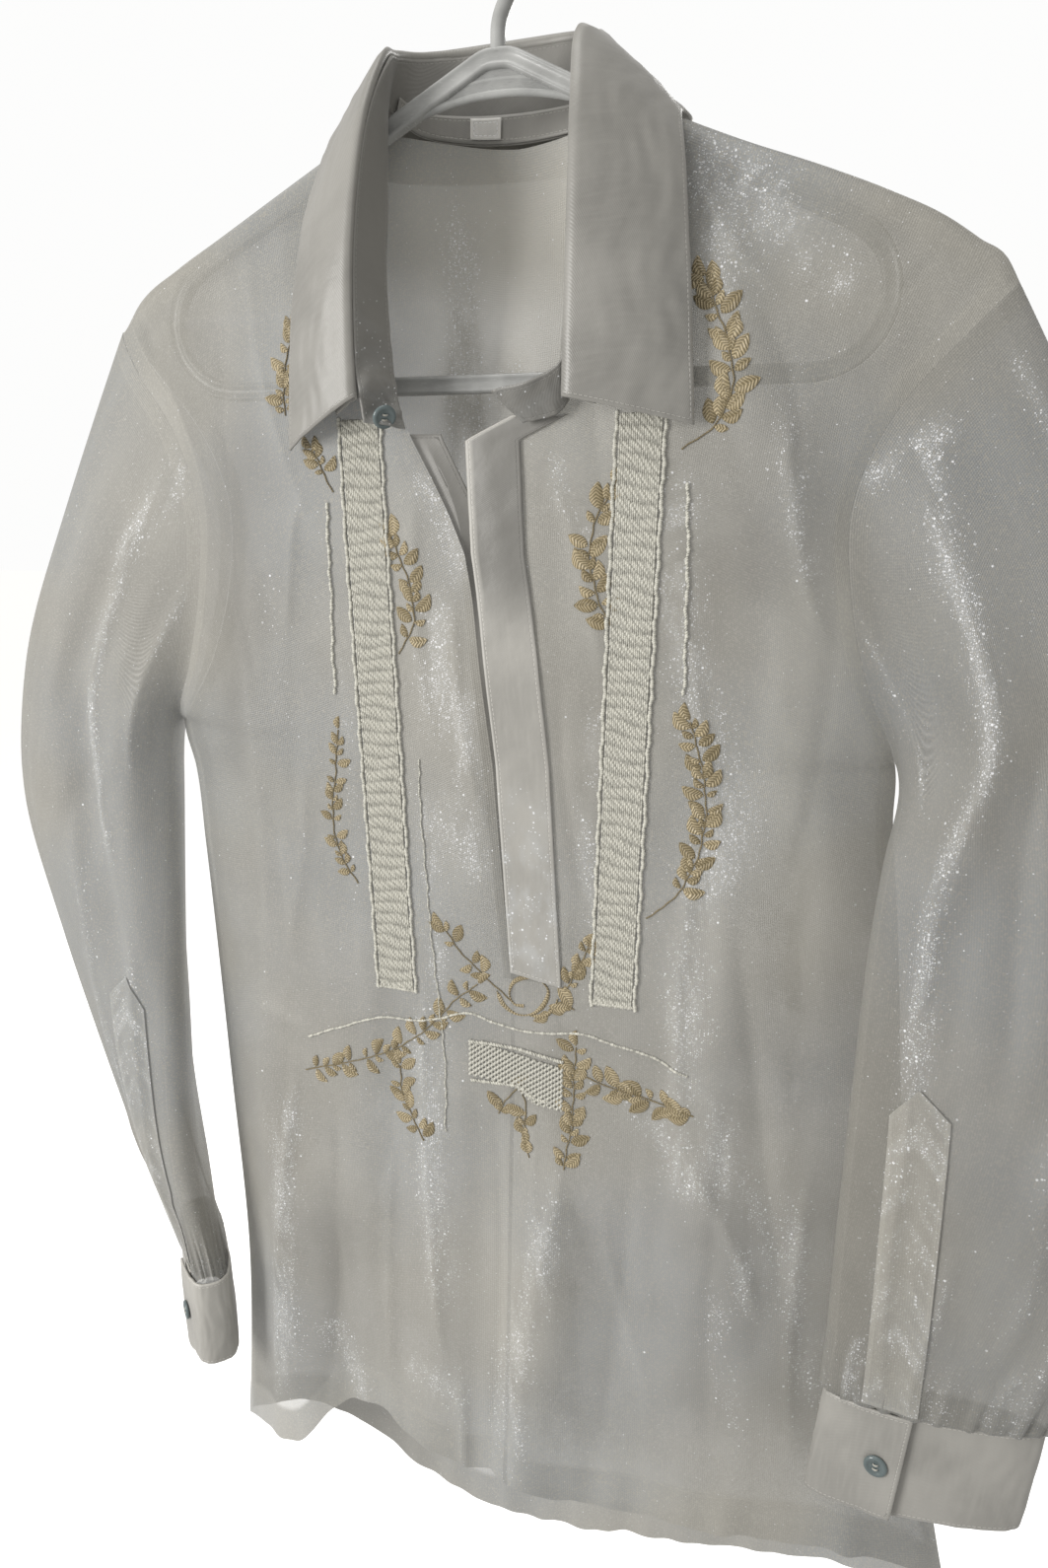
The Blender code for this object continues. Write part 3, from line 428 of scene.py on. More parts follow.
def through(knots, values, at):
    """A smooth curve through the values: cubic pieces whose slopes are the mean slopes at each knot."""
    knots, values = np.asarray(knots, float), np.asarray(values, float)
    if knots[0] > knots[-1]:
        knots, values = knots[::-1], values[::-1]
    slopes = np.gradient(values, knots)
    at = np.clip(np.asarray(at, float), knots[0], knots[-1])
    piece = np.clip(np.searchsorted(knots, at, side="right") - 1, 0, len(knots) - 2)
    length = knots[piece + 1] - knots[piece]
    t = (at - knots[piece]) / length
    return (
        values[piece] * (2 * t**3 - 3 * t**2 + 1)
        + values[piece + 1] * (3 * t**2 - 2 * t**3)
        + slopes[piece] * length * (t**3 - 2 * t**2 + t)
        + slopes[piece + 1] * length * (t**3 - t**2)
    )


def ease(t):
    """From 0 to 1 as t does, level at both ends and beyond them."""
    t = np.clip(t, 0.0, 1.0)
    return t * t * (3 - 2 * t)


def unit(ways):
    """Each way divided by its own length."""
    return ways / np.linalg.norm(ways, axis=-1, keepdims=True)


def squared(wave, roundness):
    """A wave pushed towards a square one: a roundness of 1 leaves it, and less is squarer."""
    return np.sign(wave) * np.abs(wave) ** roundness


def read(table, number, at):
    """A table's column as a smooth curve over its first column."""
    return through(column(table, 0), column(table, number), at)


def run_length(x, level):
    """How far along a line each of its points is."""
    return np.concatenate([[0], np.cumsum(np.hypot(np.diff(x), np.diff(level)))])


def run_through(table, first, at):
    """Three columns of a table as points of one smooth curve, at shares of its length."""
    knots = np.linspace(0, 1, len(table))
    return np.stack([through(knots, column(table, n), at) for n in range(first, first + 3)], axis=-1)


def fold_relief(folds, a, b):
    """The folds' rise at (a, b): a bell across each fold's line, which fades in and out along it."""
    total = np.zeros(np.broadcast(a, b).shape)
    for top_a, top_b, bottom_a, bottom_b, half_width, rise in folds:
        along = (b - top_b) / (bottom_b - top_b)
        line = top_a + (bottom_a - top_a) * along
        fade = ease((along + 0.1) / 0.3) * ease((1.15 - along) / 0.3)
        total = total + rise * np.exp(-(((a - line) / half_width) ** 2)) * fade
    return total


# ---------------------------------------------------------------- the body's surfaces

def shoulder_level(x):
    """The shoulder's line, which differs on the two sides."""
    right, left = (read(SHOULDER_LINE, number, np.abs(x)) for number in (1, 2))
    return np.where(np.asarray(x) < 0, right, left)


def side_x(side, level):
    """The armhole's edge and the side seam."""
    return read(SIDE_EDGE, 1 if side < 0 else 2, level)


def armhole_depth(level):
    """Half the armhole's depth: an ellipse between the head of the sleeve and the underarm."""
    return SEAM + ARMHOLE_DEPTH * np.sqrt(np.clip(1 - ((level - ARMHOLE_MIDDLE) / ARMHOLE_HALF) ** 2, 0, 1))


def panel_y(face, x, level, fine=True):
    """A panel's place: over the hanger's arm, out to its depth, and back to the armhole and the side seam."""
    drop = np.maximum(shoulder_level(x) - level, 0.0)
    roll = SHOULDER_ROLL * np.sqrt(1 - (1 - np.minimum(drop / SHOULDER_ROLL, 1.0)) ** 2)
    depth = read(PANEL_DEPTH, 1 if face < 0 else 2, level)
    out = SEAM + roll + (depth - SHOULDER_ROLL) * ease(drop / SHOULDER_SPREAD)
    if face > 0:
        inside = np.clip(1 - (x / NECK_REACH) ** 2, 0, 1)
        out = out + NECK_BULGE * inside * ease((level + 10) / 110)
    right, left = side_x(WEARERS_RIGHT, level), side_x(WEARERS_LEFT, level)
    above = level > TIP_LEVEL
    right, left = np.where(above, -ABOVE_TIP_REACH, right), np.where(above, ABOVE_TIP_REACH, left)
    share = np.clip(np.abs(2 * (x - right) / (left - right) - 1), 0, 1) ** SIDE_ROUNDNESS
    edge = np.where(level > UNDERARM_LEVEL, armhole_depth(level), SEAM)
    edge = np.minimum(edge, SEAM + roll + drop)
    folds = FRONT_FOLDS if face < 0 else BACK_FOLDS
    relief = fold_relief(folds, x, level) * (1 - share) * ease(drop / 40)
    if fine:
        relief = relief + fine_relief(face, x, level) * (1 - share**3) * ease(drop / 25)
    return face * (out * (1 - share) + edge * share + relief)


def on_panel(face, x, level, lift=0.0):
    """Points of a panel, moved out of it by lift along its own slope."""
    x, level = np.broadcast_arrays(np.asarray(x, float), np.asarray(level, float))
    step = 1.0
    y = panel_y(face, x, level)
    slope_x = (panel_y(face, x + step, level) - panel_y(face, x - step, level)) / (2 * step)
    slope_z = (panel_y(face, x, level + step) - panel_y(face, x, level - step)) / (2 * step)
    length = np.sqrt(1 + slope_x**2 + slope_z**2)
    points = np.stack([x, y, level], axis=-1)
    normal = face * np.stack([-slope_x, np.ones_like(x), -slope_z], axis=-1) / length[..., None]
    return points + np.asarray(lift, float)[..., None] * normal


def row_shares(count):
    """Rows from the shoulder to the hem, with a few close together where the cloth turns over the hanger."""
    first = np.array([0.0, 0.0022, 0.012, 0.03])
    return np.concatenate([first, np.linspace(0.055, 1.0, count - 3)])


def half_panel(face, side, rows, columns):
    """x and level over half a panel, from the side (first column) to the middle (last column)."""
    q = row_shares(rows)[:, None]
    p = np.linspace(0, 1, columns + 1)[None, :]
    side_level = read(ROW_LEVELS, 1, q)
    if face < 0:
        middle_level = read(ROW_LEVELS, 2, q)
        middle_x = np.interp(q, column(NECKLINE, 0), column(NECKLINE, 1 if side < 0 else 2))
    else:
        middle_level = read(ROW_LEVELS, 3, q)
        middle_x = np.zeros_like(q)
    x = side_x(side, side_level) * (1 - p) + middle_x * p
    level = side_level * (1 - p) + middle_level * p
    top_x = x[:1]
    top_line = shoulder_level(top_x)
    if face > 0:
        neck_line = BACK_NECK_LEVEL + BACK_NECK_DIP * ease(np.abs(top_x) / NECK_REACH)
        top_line = np.where(np.abs(top_x) < NECK_REACH, neck_line, top_line)
    level = level + (top_line - level[:1]) * (1 - ease(q / 0.30))
    hem_x = x[-1:]
    hem = read(HEM, 1 if face < 0 else 2, hem_x)
    level = level + (hem - level[-1:]) * ease((q - 0.62) / 0.38)
    return x, level


def slit_x(side, level):
    """The front's edge at the slit, at a level below the collar."""
    shares = through(column(ROW_LEVELS, 2), column(ROW_LEVELS, 0), level)
    return np.interp(shares, column(NECKLINE, 0), column(NECKLINE, 1 if side < 0 else 2))


# ---------------------------------------------------------------- the sleeves' surfaces

def armhole_ring(side, angle):
    """The sleeve's upper edge: round the armhole, from its head over the front to the underarm and back."""
    level = ARMHOLE_MIDDLE + ARMHOLE_HALF * np.cos(angle)
    x = side_x(side, level) + side * SEAM
    return np.stack([x, -(SEAM + ARMHOLE_DEPTH) * np.sin(angle), level], axis=-1)


def sleeve_points(side, share, angle, lift=0.0):
    """Points of a sleeve: flat rings between its two folds, which grow out of the armhole's ring.

    The angle is 0 at the outer fold, a quarter turn at the front and a half turn at the inner fold.
    """
    share, angle = np.broadcast_arrays(np.asarray(share, float), np.asarray(angle, float))
    outer_x, outer_level, inner_x, inner_level, y, swing, puff = (
        read(SLEEVES[side], number, share) for number in range(1, 8)
    )
    half = np.stack([(outer_x - inner_x) / 2, swing, (outer_level - inner_level) / 2], axis=-1)
    centre = np.stack([(outer_x + inner_x) / 2, y, (outer_level + inner_level) / 2], axis=-1)
    flat = np.hypot(half[..., 0], half[..., 1])
    front = np.stack([side * half[..., 1], -side * half[..., 0], np.zeros_like(y)], axis=-1)
    front = front / flat[..., None]
    degrees = np.degrees(angle) % 360
    puff = puff + fold_relief(SLEEVE_FOLDS[side], degrees, share) * np.abs(np.sin(angle))
    puff = puff + sleeve_creases(side, share, degrees) * ease(share / 0.1)
    size = puff + lift
    wide = 1 + lift / np.maximum(np.linalg.norm(half, axis=-1), 1.0)
    ring = (
        centre
        + half * (np.cos(angle) * wide)[..., None]
        + front * (np.sin(angle) * size)[..., None]
    )
    grown = ease(share / 0.30)[..., None]
    hole = armhole_ring(side, angle)
    return hole * (1 - grown) + ring * grown


def cuff_points(side, share, angle, lift=0.0):
    """Points of a cuff: the sleeve's last ring carried down and squared, with its outer corner lower."""
    share, angle = np.broadcast_arrays(np.asarray(share, float), np.asarray(angle, float))
    last = SLEEVES[side][-1]
    half = np.array([(last[1] - last[3]) / 2, last[6], 0.0])
    along = unit(half)
    front = side * np.array([along[1], -along[0], 0.0])
    centre = np.array([(last[1] + last[3]) / 2, last[5], (last[2] + last[4]) / 2 - CUFF_SEAM])
    across = CUFF_HALF_WIDTH[side] + lift
    depth = CUFF_HALF_DEPTH[side] + lift
    ahead, aside = (squared(wave, CUFF_ROUNDNESS[side]) for wave in (np.cos(angle), np.sin(angle)))
    points = centre + along * (across * ahead)[..., None] + front * (depth * aside)[..., None]
    tilt = (last[2] - last[4]) / 2 * (1 - share) - CUFF_DROP[side] * share
    points[..., 2] += -share * CUFF_HEIGHT + tilt * np.cos(angle)
    points[..., 0] += share * CUFF_LEAN[side]
    return points


def spiral_angles(count):
    """The cuff's strip, from its free edge on top, once round, to its hidden end under the free edge."""
    start = radians(CUFF_FREE_EDGE)
    return np.linspace(start, start + 2 * pi + radians(CUFF_OVERLAP), count)


def stand_points(along, up):
    """Points of the collar's stand: along it from the wearer's right end, and up from its seam to its top."""
    along, up = np.broadcast_arrays(np.asarray(along, float), np.asarray(up, float))
    seam, top = run_through(COLLAR_STAND, 0, along), run_through(COLLAR_STAND, 3, along)
    return seam + (top - seam) * up[..., None]


def on_stand(along, up, lift):
    """Points of the collar's stand, moved inward from it by lift."""
    points = stand_points(along, up)
    near = np.clip(along, 0.01, 0.99)
    beside = stand_points(near + 0.01, up) - stand_points(near - 0.01, up)
    above = stand_points(near, up + 0.05) - stand_points(near, up)
    return points + np.asarray(lift, float)[..., None] * unit(np.cross(beside, above))


def arc(centre, radius, start, end, count):
    """Points on a circle between two angles in degrees."""
    turn = np.radians(np.linspace(start, end, count))
    return [(centre[0] + radius * cos(t), centre[1] + radius * sin(t)) for t in turn]


def hanger_outline(inset):
    """The closed outline of the hanger's frame, moved in by inset: two arms, round ends and a bar."""
    lean = np.degrees(np.arctan(ARM_SLOPE))
    radius = END_RADIUS - inset
    end_level = END_RADIUS - BAR_HEIGHT / 2
    touch_level = end_level + END_RADIUS * cos(radians(lean))
    end_x = (APEX_LEVEL - touch_level) / ARM_SLOPE - END_RADIUS * sin(radians(lean))
    apex = APEX_LEVEL - inset / cos(radians(lean)) - ARM_SLOPE * APEX_HALF_WIDTH
    return [
        *arc((end_x, end_level), radius, -90, 90 - lean, 9),
        (APEX_HALF_WIDTH, apex), (-APEX_HALF_WIDTH, apex),
        *arc((-end_x, end_level), radius, 90 + lean, 270, 9),
    ]


def hook_path():
    """The hook: up from the apex, round and over the rod, with its mouth on the wearer's right."""
    radius = HOOK_INNER_RADIUS + HOOK_ROD / 2
    over = arc((0.0, ROD_ABOVE_BAR - HOOK_INNER_RADIUS), radius, 205, -40, 22)
    end_x, end_level = over[-1]
    down = np.linspace(0.12, 1.0, 9)
    stem = zip(end_x * (1 - ease(down * 1.25)), end_level + (APEX_LEVEL - HOOK_ROOT_DEPTH - end_level) * down)
    return [*over, *stem]


# ---------------------------------------------------------------- the camera, and places by what it frames

CAMERA_PLACE = (179.8, -531.1, -58.1)  # x, y, level
CAMERA_TILT = 75.7  # degrees up from straight down
CAMERA_TURN = 17.5  # degrees towards the wearer's left
CAMERA_LENS = 24.9
CAMERA_SENSOR = 36.0
FRAME_WIDTH = 1063
FRAME_HEIGHT = 1590


def framed(u, v):
    """The front's (x, level) that stands at (u, v) of the camera's frame: each ray is walked to the panel."""
    u, v = np.broadcast_arrays(np.asarray(u, float), np.asarray(v, float))
    tilt, turn = radians(CAMERA_TILT), radians(CAMERA_TURN)
    focal = CAMERA_LENS / CAMERA_SENSOR * FRAME_HEIGHT
    right = np.array([cos(turn), sin(turn), 0.0])
    up = np.array([-sin(turn) * cos(tilt), cos(turn) * cos(tilt), sin(tilt)])
    back = np.array([sin(turn) * sin(tilt), -cos(turn) * sin(tilt), cos(tilt)])
    ray = (
        ((u - FRAME_WIDTH / 2) / focal)[..., None] * right
        + ((FRAME_HEIGHT / 2 - v) / focal)[..., None] * up
        - back
    )
    y = np.full(u.shape, -45.0)
    for _ in range(14):
        reach = (y - CAMERA_PLACE[1]) / ray[..., 1]
        x = CAMERA_PLACE[0] + reach * ray[..., 0]
        level = CAMERA_PLACE[2] + reach * ray[..., 2]
        y = (y + panel_y(FRONT, x, level, fine=False)) / 2
    return x, level


# ---------------------------------------------------------------- creases, and painted sheen and shade, listed

FRONT_CREASES = (  # in the camera's frame
    # from u, v, to u, v, bend in mm, half width in mm, rise in mm
    (306, 500, 292, 640, 3, 5, 1.4),
    (250, 240, 330, 560, 8, 7, 1.6),
    (232, 300, 262, 700, 5, 8, -1.8),
    (246, 660, 268, 1180, -6, 7, 1.8),
    (300, 1080, 282, 1440, 4, 7, 3),
    (340, 1110, 330, 1420, -5, 6, -1.6),
    (402, 1150, 398, 1400, 3, 6, 2.2),
    (432, 1000, 452, 1390, 4, 5.5, 2.4),
    (470, 1390, 480, 1560, 2, 4, 3.2),
    (505, 1130, 492, 1560, -5, 6, -2),
    (575, 1170, 520, 1520, 5, 7, 2.6),
    (640, 1130, 600, 1480, -6, 8, -1.8),
    (712, 860, 690, 1160, 6, 7, 2.6),
    (690, 1160, 770, 1340, -5, 6, 3),
    (752, 930, 800, 1330, 4, 8, -2.2),
    (800, 420, 846, 660, 6, 8, 2.8),
    (846, 560, 800, 900, -7, 9, -2),
    (700, 118, 790, 300, 8, 6, 2.4),
    (742, 132, 872, 262, 8, 6, 1.8),
    (770, 300, 812, 480, -5, 7, -1.6),
    (690, 500, 742, 900, 5, 6, 1.4),
    (432, 452, 478, 600, -4, 4.5, 2),
    (420, 500, 440, 760, 5, 5, 1.6),
    (458, 600, 498, 860, 4, 4.5, 1.6),
    (560, 480, 610, 700, -4, 5.5, 1.5),
    (570, 700, 596, 930, 4, 5, -1.4),
    (318, 1050, 250, 1010, 3, 6, 1.4),
    (310, 780, 290, 980, -3, 6, 1.6),
    (742, 1100, 720, 1480, 5, 6, -1.8),
    (820, 1180, 800, 1480, 3, 6, 2),
    (540, 1120, 560, 1330, 3, 5, 1.4),
    (610, 1210, 660, 1420, 5, 5, 1.6),
)

BACK_CREASES = (
    # from x, level, to x, level, bend, half width, rise
    (-20, 92, -46, -210, 6, 7, 2.2),
    (24, 96, 44, -160, -6, 6, 2),
    (-8, 40, 6, -330, 5, 7, -2),
    (70, 60, 100, -130, 6, 7, 1.8),
    (-86, 50, -112, -150, -6, 7, 1.6),
    (-132, -60, -138, -360, 5, 7, -1.8),
    (140, -90, 158, -380, -6, 8, 2.2),
    (-70, -200, -86, -560, 7, 8, 2.4),
    (-30, -300, -44, -690, -6, 7, -2.2),
    (32, -260, 36, -690, 6, 8, 2.6),
    (84, -300, 96, -680, 6, 7, -2),
    (130, -340, 150, -670, -5, 8, 2.4),
    (196, -330, 214, -640, 5, 8, 2.2),
    (-140, -420, -150, -640, 4, 7, 2),
    (4, -460, 14, -700, 4, 6, 2.2),
    (-112, -380, -120, -650, 4, 6, 1.8),
)

FRONT_PAINTED_SHEEN = (  # painted sheen and glints, where the cloth's metal thread would catch the light, in the camera's frame
    # from u, v, to u, v, bend in mm, half width in mm, strength
    (690, 118, 800, 220, 4, 16, 0.78),
    (770, 180, 880, 300, 6, 13, 0.75),
    (706, 140, 760, 330, 6, 14, 0.55),
    (800, 330, 842, 640, 6, 12, 0.4),
    (690, 470, 705, 720, 3, 14, 0.85),
    (700, 700, 742, 900, -6, 18, 0.85),
    (722, 860, 700, 1080, 6, 16, 0.9),
    (690, 1080, 764, 1330, -8, 12, 1),
    (420, 470, 470, 600, -4, 12, 0.7),
    (440, 600, 470, 760, 4, 14, 0.95),
    (466, 700, 484, 900, 3, 13, 0.9),
    (428, 800, 440, 1010, -3, 10, 0.75),
    (440, 1000, 452, 1330, 4, 14, 0.85),
    (300, 1100, 288, 1420, 4, 16, 0.75),
    (330, 1330, 380, 1430, 4, 14, 0.75),
    (410, 1380, 480, 1410, 2, 12, 0.95),
    (570, 1190, 512, 1500, 6, 16, 0.7),
    (600, 700, 606, 1000, 3, 10, 0.55),
    (560, 440, 600, 560, 3, 9, 0.55),
    (640, 1100, 700, 1230, -4, 16, 0.7),
    (350, 640, 366, 930, 2, 10, 0.35),
    (270, 560, 300, 760, 3, 14, 0.25),
    (800, 1200, 830, 1440, 3, 12, 0.55),
    (720, 1300, 760, 1480, 3, 14, 0.45),
)

# painted sheen and glints on the back, on its own (x, level)
BACK_PAINTED_SHEEN = (
    # from x, level, to x, level, bend, half width, strength
    (-32, 98, -20, -60, 3, 9, 1),
    (4, 20, 14, -60, 3, 12, 0.9),
    (78, 104, 80, -60, 3, 9, 0.7),
    (-30, 60, -52, -180, 5, 10, 0.35),
    (90, 60, 130, -80, 6, 14, 0.5),
    (-96, 50, -132, -90, 6, 13, 0.5),
    (-80, -220, -96, -600, 7, 14, 0.7),
    (36, -260, 40, -680, 6, 15, 0.7),
    (140, -120, 170, -640, -6, 14, 0.65),
    (-140, -260, -150, -640, 5, 12, 0.55),
    (-20, -620, 90, -660, 4, 14, 0.6),
)

FRONT_PAINTED_SHADE = (  # painted shade where the cloth is made darker, and below 0 painted light where it is made paler, in the camera's frame
    # from u, v, to u, v, bend in mm, half width in mm, strength
    (250, 400, 240, 800, 0, 30, 0.52),
    (705, 1200, 720, 1460, 0, 34, 0.42),
    (330, 1180, 325, 1440, 0, 30, 0.4),
    (770, 400, 775, 620, 0, 26, 0.26),
    (812, 560, 806, 1040, 0, 30, -0.42),
    (500, 1140, 505, 1400, 0, 30, -0.22),
    (725, 780, 715, 1080, 0, 22, -0.08),
)

# painted shade on the back, and below 0 painted light, on its own (x, level)
BACK_PAINTED_SHADE = (
    # from x, level, to x, level, bend, half width, strength
    (-44, 116, -48, -60, 0, 34, -0.34),
    (-6, 124, -8, -130, 0, 42, -0.62),
    (30, 124, 34, -130, 0, 44, -0.74),
    (-178, -640, -60, -692, 0, 34, 0.55),
)

SLEEVE_UNITS = 400.0  # a sleeve's whole length, in the same units as its degrees
RISE, SHINE = 6, 7  # columns of the next table: the rise, and the painted sheen

SLEEVE_CREASES = {
    WEARERS_RIGHT: (
        # from share, degrees, to share, degrees, bend in degrees, half width in degrees, rise in mm, painted
        # sheen
        (0.02, 66, 0.2, 74, 4, 7, 3, 0.8),
        (0.16, 72, 0.52, 118, 6, 7, 2.6, 0.7),
        (0.05, 100, 0.34, 132, 5, 7, 2.2, 0.4),
        (0.3, 46, 0.62, 60, -5, 8, -1.6, 0.2),
        (0.44, 92, 0.8, 82, 5, 9, 1.8, 0.4),
        (0.56, 130, 0.94, 112, 5, 8, 2, 0.6),
        (0.62, 40, 0.98, 56, -4, 9, 1.6, 0.3),
        (0.7, 96, 0.99, 90, 3, 6, 1.8, 0.7),
        (0.82, 66, 1, 74, 2, 5, 1.6, 0.5),
        (0.88, 132, 1, 138, 2, 5, 1.6, 0.4),
        (0.1, 230, 0.46, 262, 6, 9, 2.4, 0.5),
        (0.24, 290, 0.7, 276, -6, 10, -2, 0.3),
        (0.5, 236, 0.92, 250, 5, 9, 2.2, 0.5),
        (0.66, 306, 0.98, 300, 4, 8, 2, 0.4),
        (0.86, 270, 1, 268, 2, 5, 1.8, 0.4),
    ),
    WEARERS_LEFT: (
        (0.01, 76, 0.13, 54, 6, 7, 3.6, 0.7),
        (0.1, 58, 0.44, 132, 8, 7, 3.4, 1),
        (0.4, 128, 0.96, 118, 6, 8, 3, 1),
        (0.04, 108, 0.3, 142, 5, 6, 2.4, 0.5),
        (0.1, 30, 0.34, 44, -4, 7, 2.4, 0.5),
        (0.3, 86, 0.62, 96, 5, 9, -2, 0.1),
        (0.36, 56, 0.74, 66, 5, 9, 2, 0.3),
        (0.6, 78, 0.92, 72, -4, 8, 1.6, 0.3),
        (0.7, 40, 0.99, 48, 4, 8, 2, 0.4),
        (0.76, 100, 1, 102, 2, 5, 1.6, 0.5),
        (0.9, 60, 1, 66, 2, 4.5, 1.6, 0.4),
        (0.9, 136, 1, 140, 2, 4.5, 1.4, 0.5),
        (0.24, 178, 0.74, 180, 0, 17, 8, 0.1),
        (0.1, 236, 0.46, 258, 6, 9, 2.4, 0.5),
        (0.26, 292, 0.72, 280, -6, 10, -2, 0.3),
        (0.52, 240, 0.94, 250, 5, 9, 2.2, 0.5),
        (0.68, 304, 0.98, 298, 4, 8, 2, 0.4),
        (0.88, 272, 1, 270, 2, 5, 1.8, 0.4),
    ),
}


def in_the_frame(lines):
    """Lines given in the camera's frame, as lines of (x, level) on the front."""
    table = np.array(lines, float)
    table[:, 0], table[:, 1] = framed(table[:, 0], table[:, 1])
    table[:, 2], table[:, 3] = framed(table[:, 2], table[:, 3])
    return table


def line_field(lines, a, b):
    """The sum of soft ridges along bent lines: each falls off with the distance from its line, and fades at
    both ends of it."""
    total = np.zeros(np.broadcast(a, b).shape)
    for number, (a0, b0, a1, b1, bend, half_width, height) in enumerate(lines):
        length = np.hypot(a1 - a0, b1 - b0)
        ahead = np.array([a1 - a0, b1 - b0]) / length
        along = ((a - a0) * ahead[0] + (b - b0) * ahead[1]) / length
        beside = (a - a0) * ahead[1] - (b - b0) * ahead[0]
        inside = np.clip(along, 0, 1)
        wave = 0.12 * half_width * np.sin(7.0 * inside + number)
        beside = beside - bend * 4 * inside * (1 - inside) - wave
        fade = ease((along + 0.08) / 0.28) * ease((1.08 - along) / 0.28)
        total = total + height * fade * np.exp(0.34 - 1.7 * np.sqrt((beside / half_width) ** 2 + 0.04))
    return total


def ripples(a, b, size):
    """A gentle uneven swell: four crossing sine waves, each bent by another, of about that size across."""
    turn = 2 * pi / size
    bent = a + 0.22 * size * np.sin(turn * 0.43 * b + 0.8)
    return (
        np.sin(turn * (0.91 * bent + 0.20 * b) + 1.3)
        + 0.7 * np.sin(turn * (1.63 * bent - 0.34 * b) + 4.1)
        + 0.6 * np.sin(turn * (0.47 * bent + 0.55 * b) + 2.2)
        + 0.4 * np.sin(turn * (2.40 * bent + 0.71 * b) + 5.7)
    ) / 2.7


def fine_relief(face, x, level):
    """The panel's creases, with a slight unevenness between them."""
    uneven = 0.35 * ripples(x + 40 * face, level * 0.30, 38.0) + 0.10 * ripples(level * 0.6, x, 15.0)
    return 0.8 * line_field(CREASES[face], x, level) + uneven


def sleeve_lines(side, height):
    """The sleeve's crease lines, drawn on its degrees and its length in units of the same size. The height is
    the table's column for it: the rise or the painted sheen."""
    return [
        (row[1], row[0] * SLEEVE_UNITS, row[3], row[2] * SLEEVE_UNITS, row[4], row[5], row[height])
        for row in SLEEVE_CREASES[side]
    ]


def sleeve_creases(side, share, degrees):
    """The relief of a sleeve's creases, with a slight unevenness that fades at its two folds."""
    relief = line_field(sleeve_lines(side, RISE), degrees, share * SLEEVE_UNITS)
    return relief + 0.8 * ripples(degrees, share * 200, 42.0) * np.abs(np.sin(np.radians(degrees)))


CREASES = {FRONT: in_the_frame(FRONT_CREASES), BACK: np.array(BACK_CREASES)}
PAINTED_SHEEN = {FRONT: in_the_frame(FRONT_PAINTED_SHEEN), BACK: np.array(BACK_PAINTED_SHEEN)}
PAINTED_SHADE = {FRONT: in_the_frame(FRONT_PAINTED_SHADE), BACK: np.array(BACK_PAINTED_SHADE)}


# ---------------------------------------------------------------- meshes

def to_world(points):
    """Points with levels, in millimetres, as points of the frame in metres."""
    points = np.asarray(points, float) * MM
    points[..., 2] -= ROD_ABOVE_BAR * MM
    return points


def grid_faces(rows, columns, wrapped=False):
    """The quads between the points of a grid, and from its last column to its first where it is wrapped."""
    index = np.arange(rows * columns).reshape(rows, columns)
    if wrapped:
        index = np.concatenate([index, index[:, :1]], axis=1)
    corners = index[:-1, :-1], index[:-1, 1:], index[1:, 1:], index[1:, :-1]
    return np.stack(corners, axis=-1).reshape(-1, 4)


def build_mesh(name, points, faces, fields=None, uv=None):
    """A mesh from points in millimetres and quads, with a number at each point for each field."""
    points = to_world(points.reshape(-1, 3))
    faces = np.asarray(faces, np.int32)
    mesh = bpy.data.meshes.new(name)
    mesh.vertices.add(len(points))
    mesh.vertices.foreach_set("co", points.astype(np.float32).ravel())
    mesh.loops.add(faces.size)
    mesh.loops.foreach_set("vertex_index", faces.ravel())
    mesh.polygons.add(len(faces))
    mesh.polygons.foreach_set("loop_start", np.arange(0, faces.size, faces.shape[1], dtype=np.int32))
    mesh.update(calc_edges=True)
    for label, values in (fields or {}).items():
        field = mesh.attributes.new(label, "FLOAT", "POINT")
        field.data.foreach_set("value", values.astype(np.float32).ravel())
    if uv is not None:
        layer = mesh.uv_layers.new(name="cloth")
        layer.data.foreach_set("uv", uv.reshape(-1, 2)[faces.ravel()].astype(np.float32).ravel())
    mesh.validate()
    return mesh


def outward(mesh, towards):
    """Turns the mesh over where its faces look away from the given direction, taken over the whole mesh."""
    normals = np.zeros(len(mesh.polygons) * 3, np.float32)
    areas = np.zeros(len(mesh.polygons), np.float32)
    mesh.polygons.foreach_get("normal", normals)
    mesh.polygons.foreach_get("area", areas)
    if (normals.reshape(-1, 3) * areas[:, None]).sum(0) @ np.asarray(towards, float) < 0:
        mesh.flip_normals()


def outward_along(mesh, ways, inside=False):
    """Turns the mesh over where its normals look against the given ways, or with them for one inside."""
    normals = np.zeros(len(mesh.vertices) * 3, np.float32)
    mesh.vertices.foreach_get("normal", normals)
    if ((normals.reshape(-1, 3) * ways.reshape(-1, 3)).sum() < 0) != inside:
        mesh.flip_normals()


def outward_from_axis(mesh, rings):
    """Turns a tube of rings so that its faces look away from the middle of each ring."""
    outward_along(mesh, rings - rings.mean(axis=1, keepdims=True))


def outward_from_neck(mesh, grid, inside=False):
    """Turns a piece of the collar so that its faces look away from the neck, or at it for one inside."""
    outward_along(mesh, (grid - NECK_MIDDLE) * (1, 1, 0), inside)


def closed_outward(mesh):
    """Turns a closed mesh over where its volume comes out negative, which means that it is inside out."""
    shape = bmesh.new()
    shape.from_mesh(mesh)
    bmesh.ops.remove_doubles(shape, verts=shape.verts, dist=0.002 * MM)
    if shape.calc_volume(signed=True) < 0:
        bmesh.ops.reverse_faces(shape, faces=shape.faces)
    shape.to_mesh(mesh)
    shape.free()


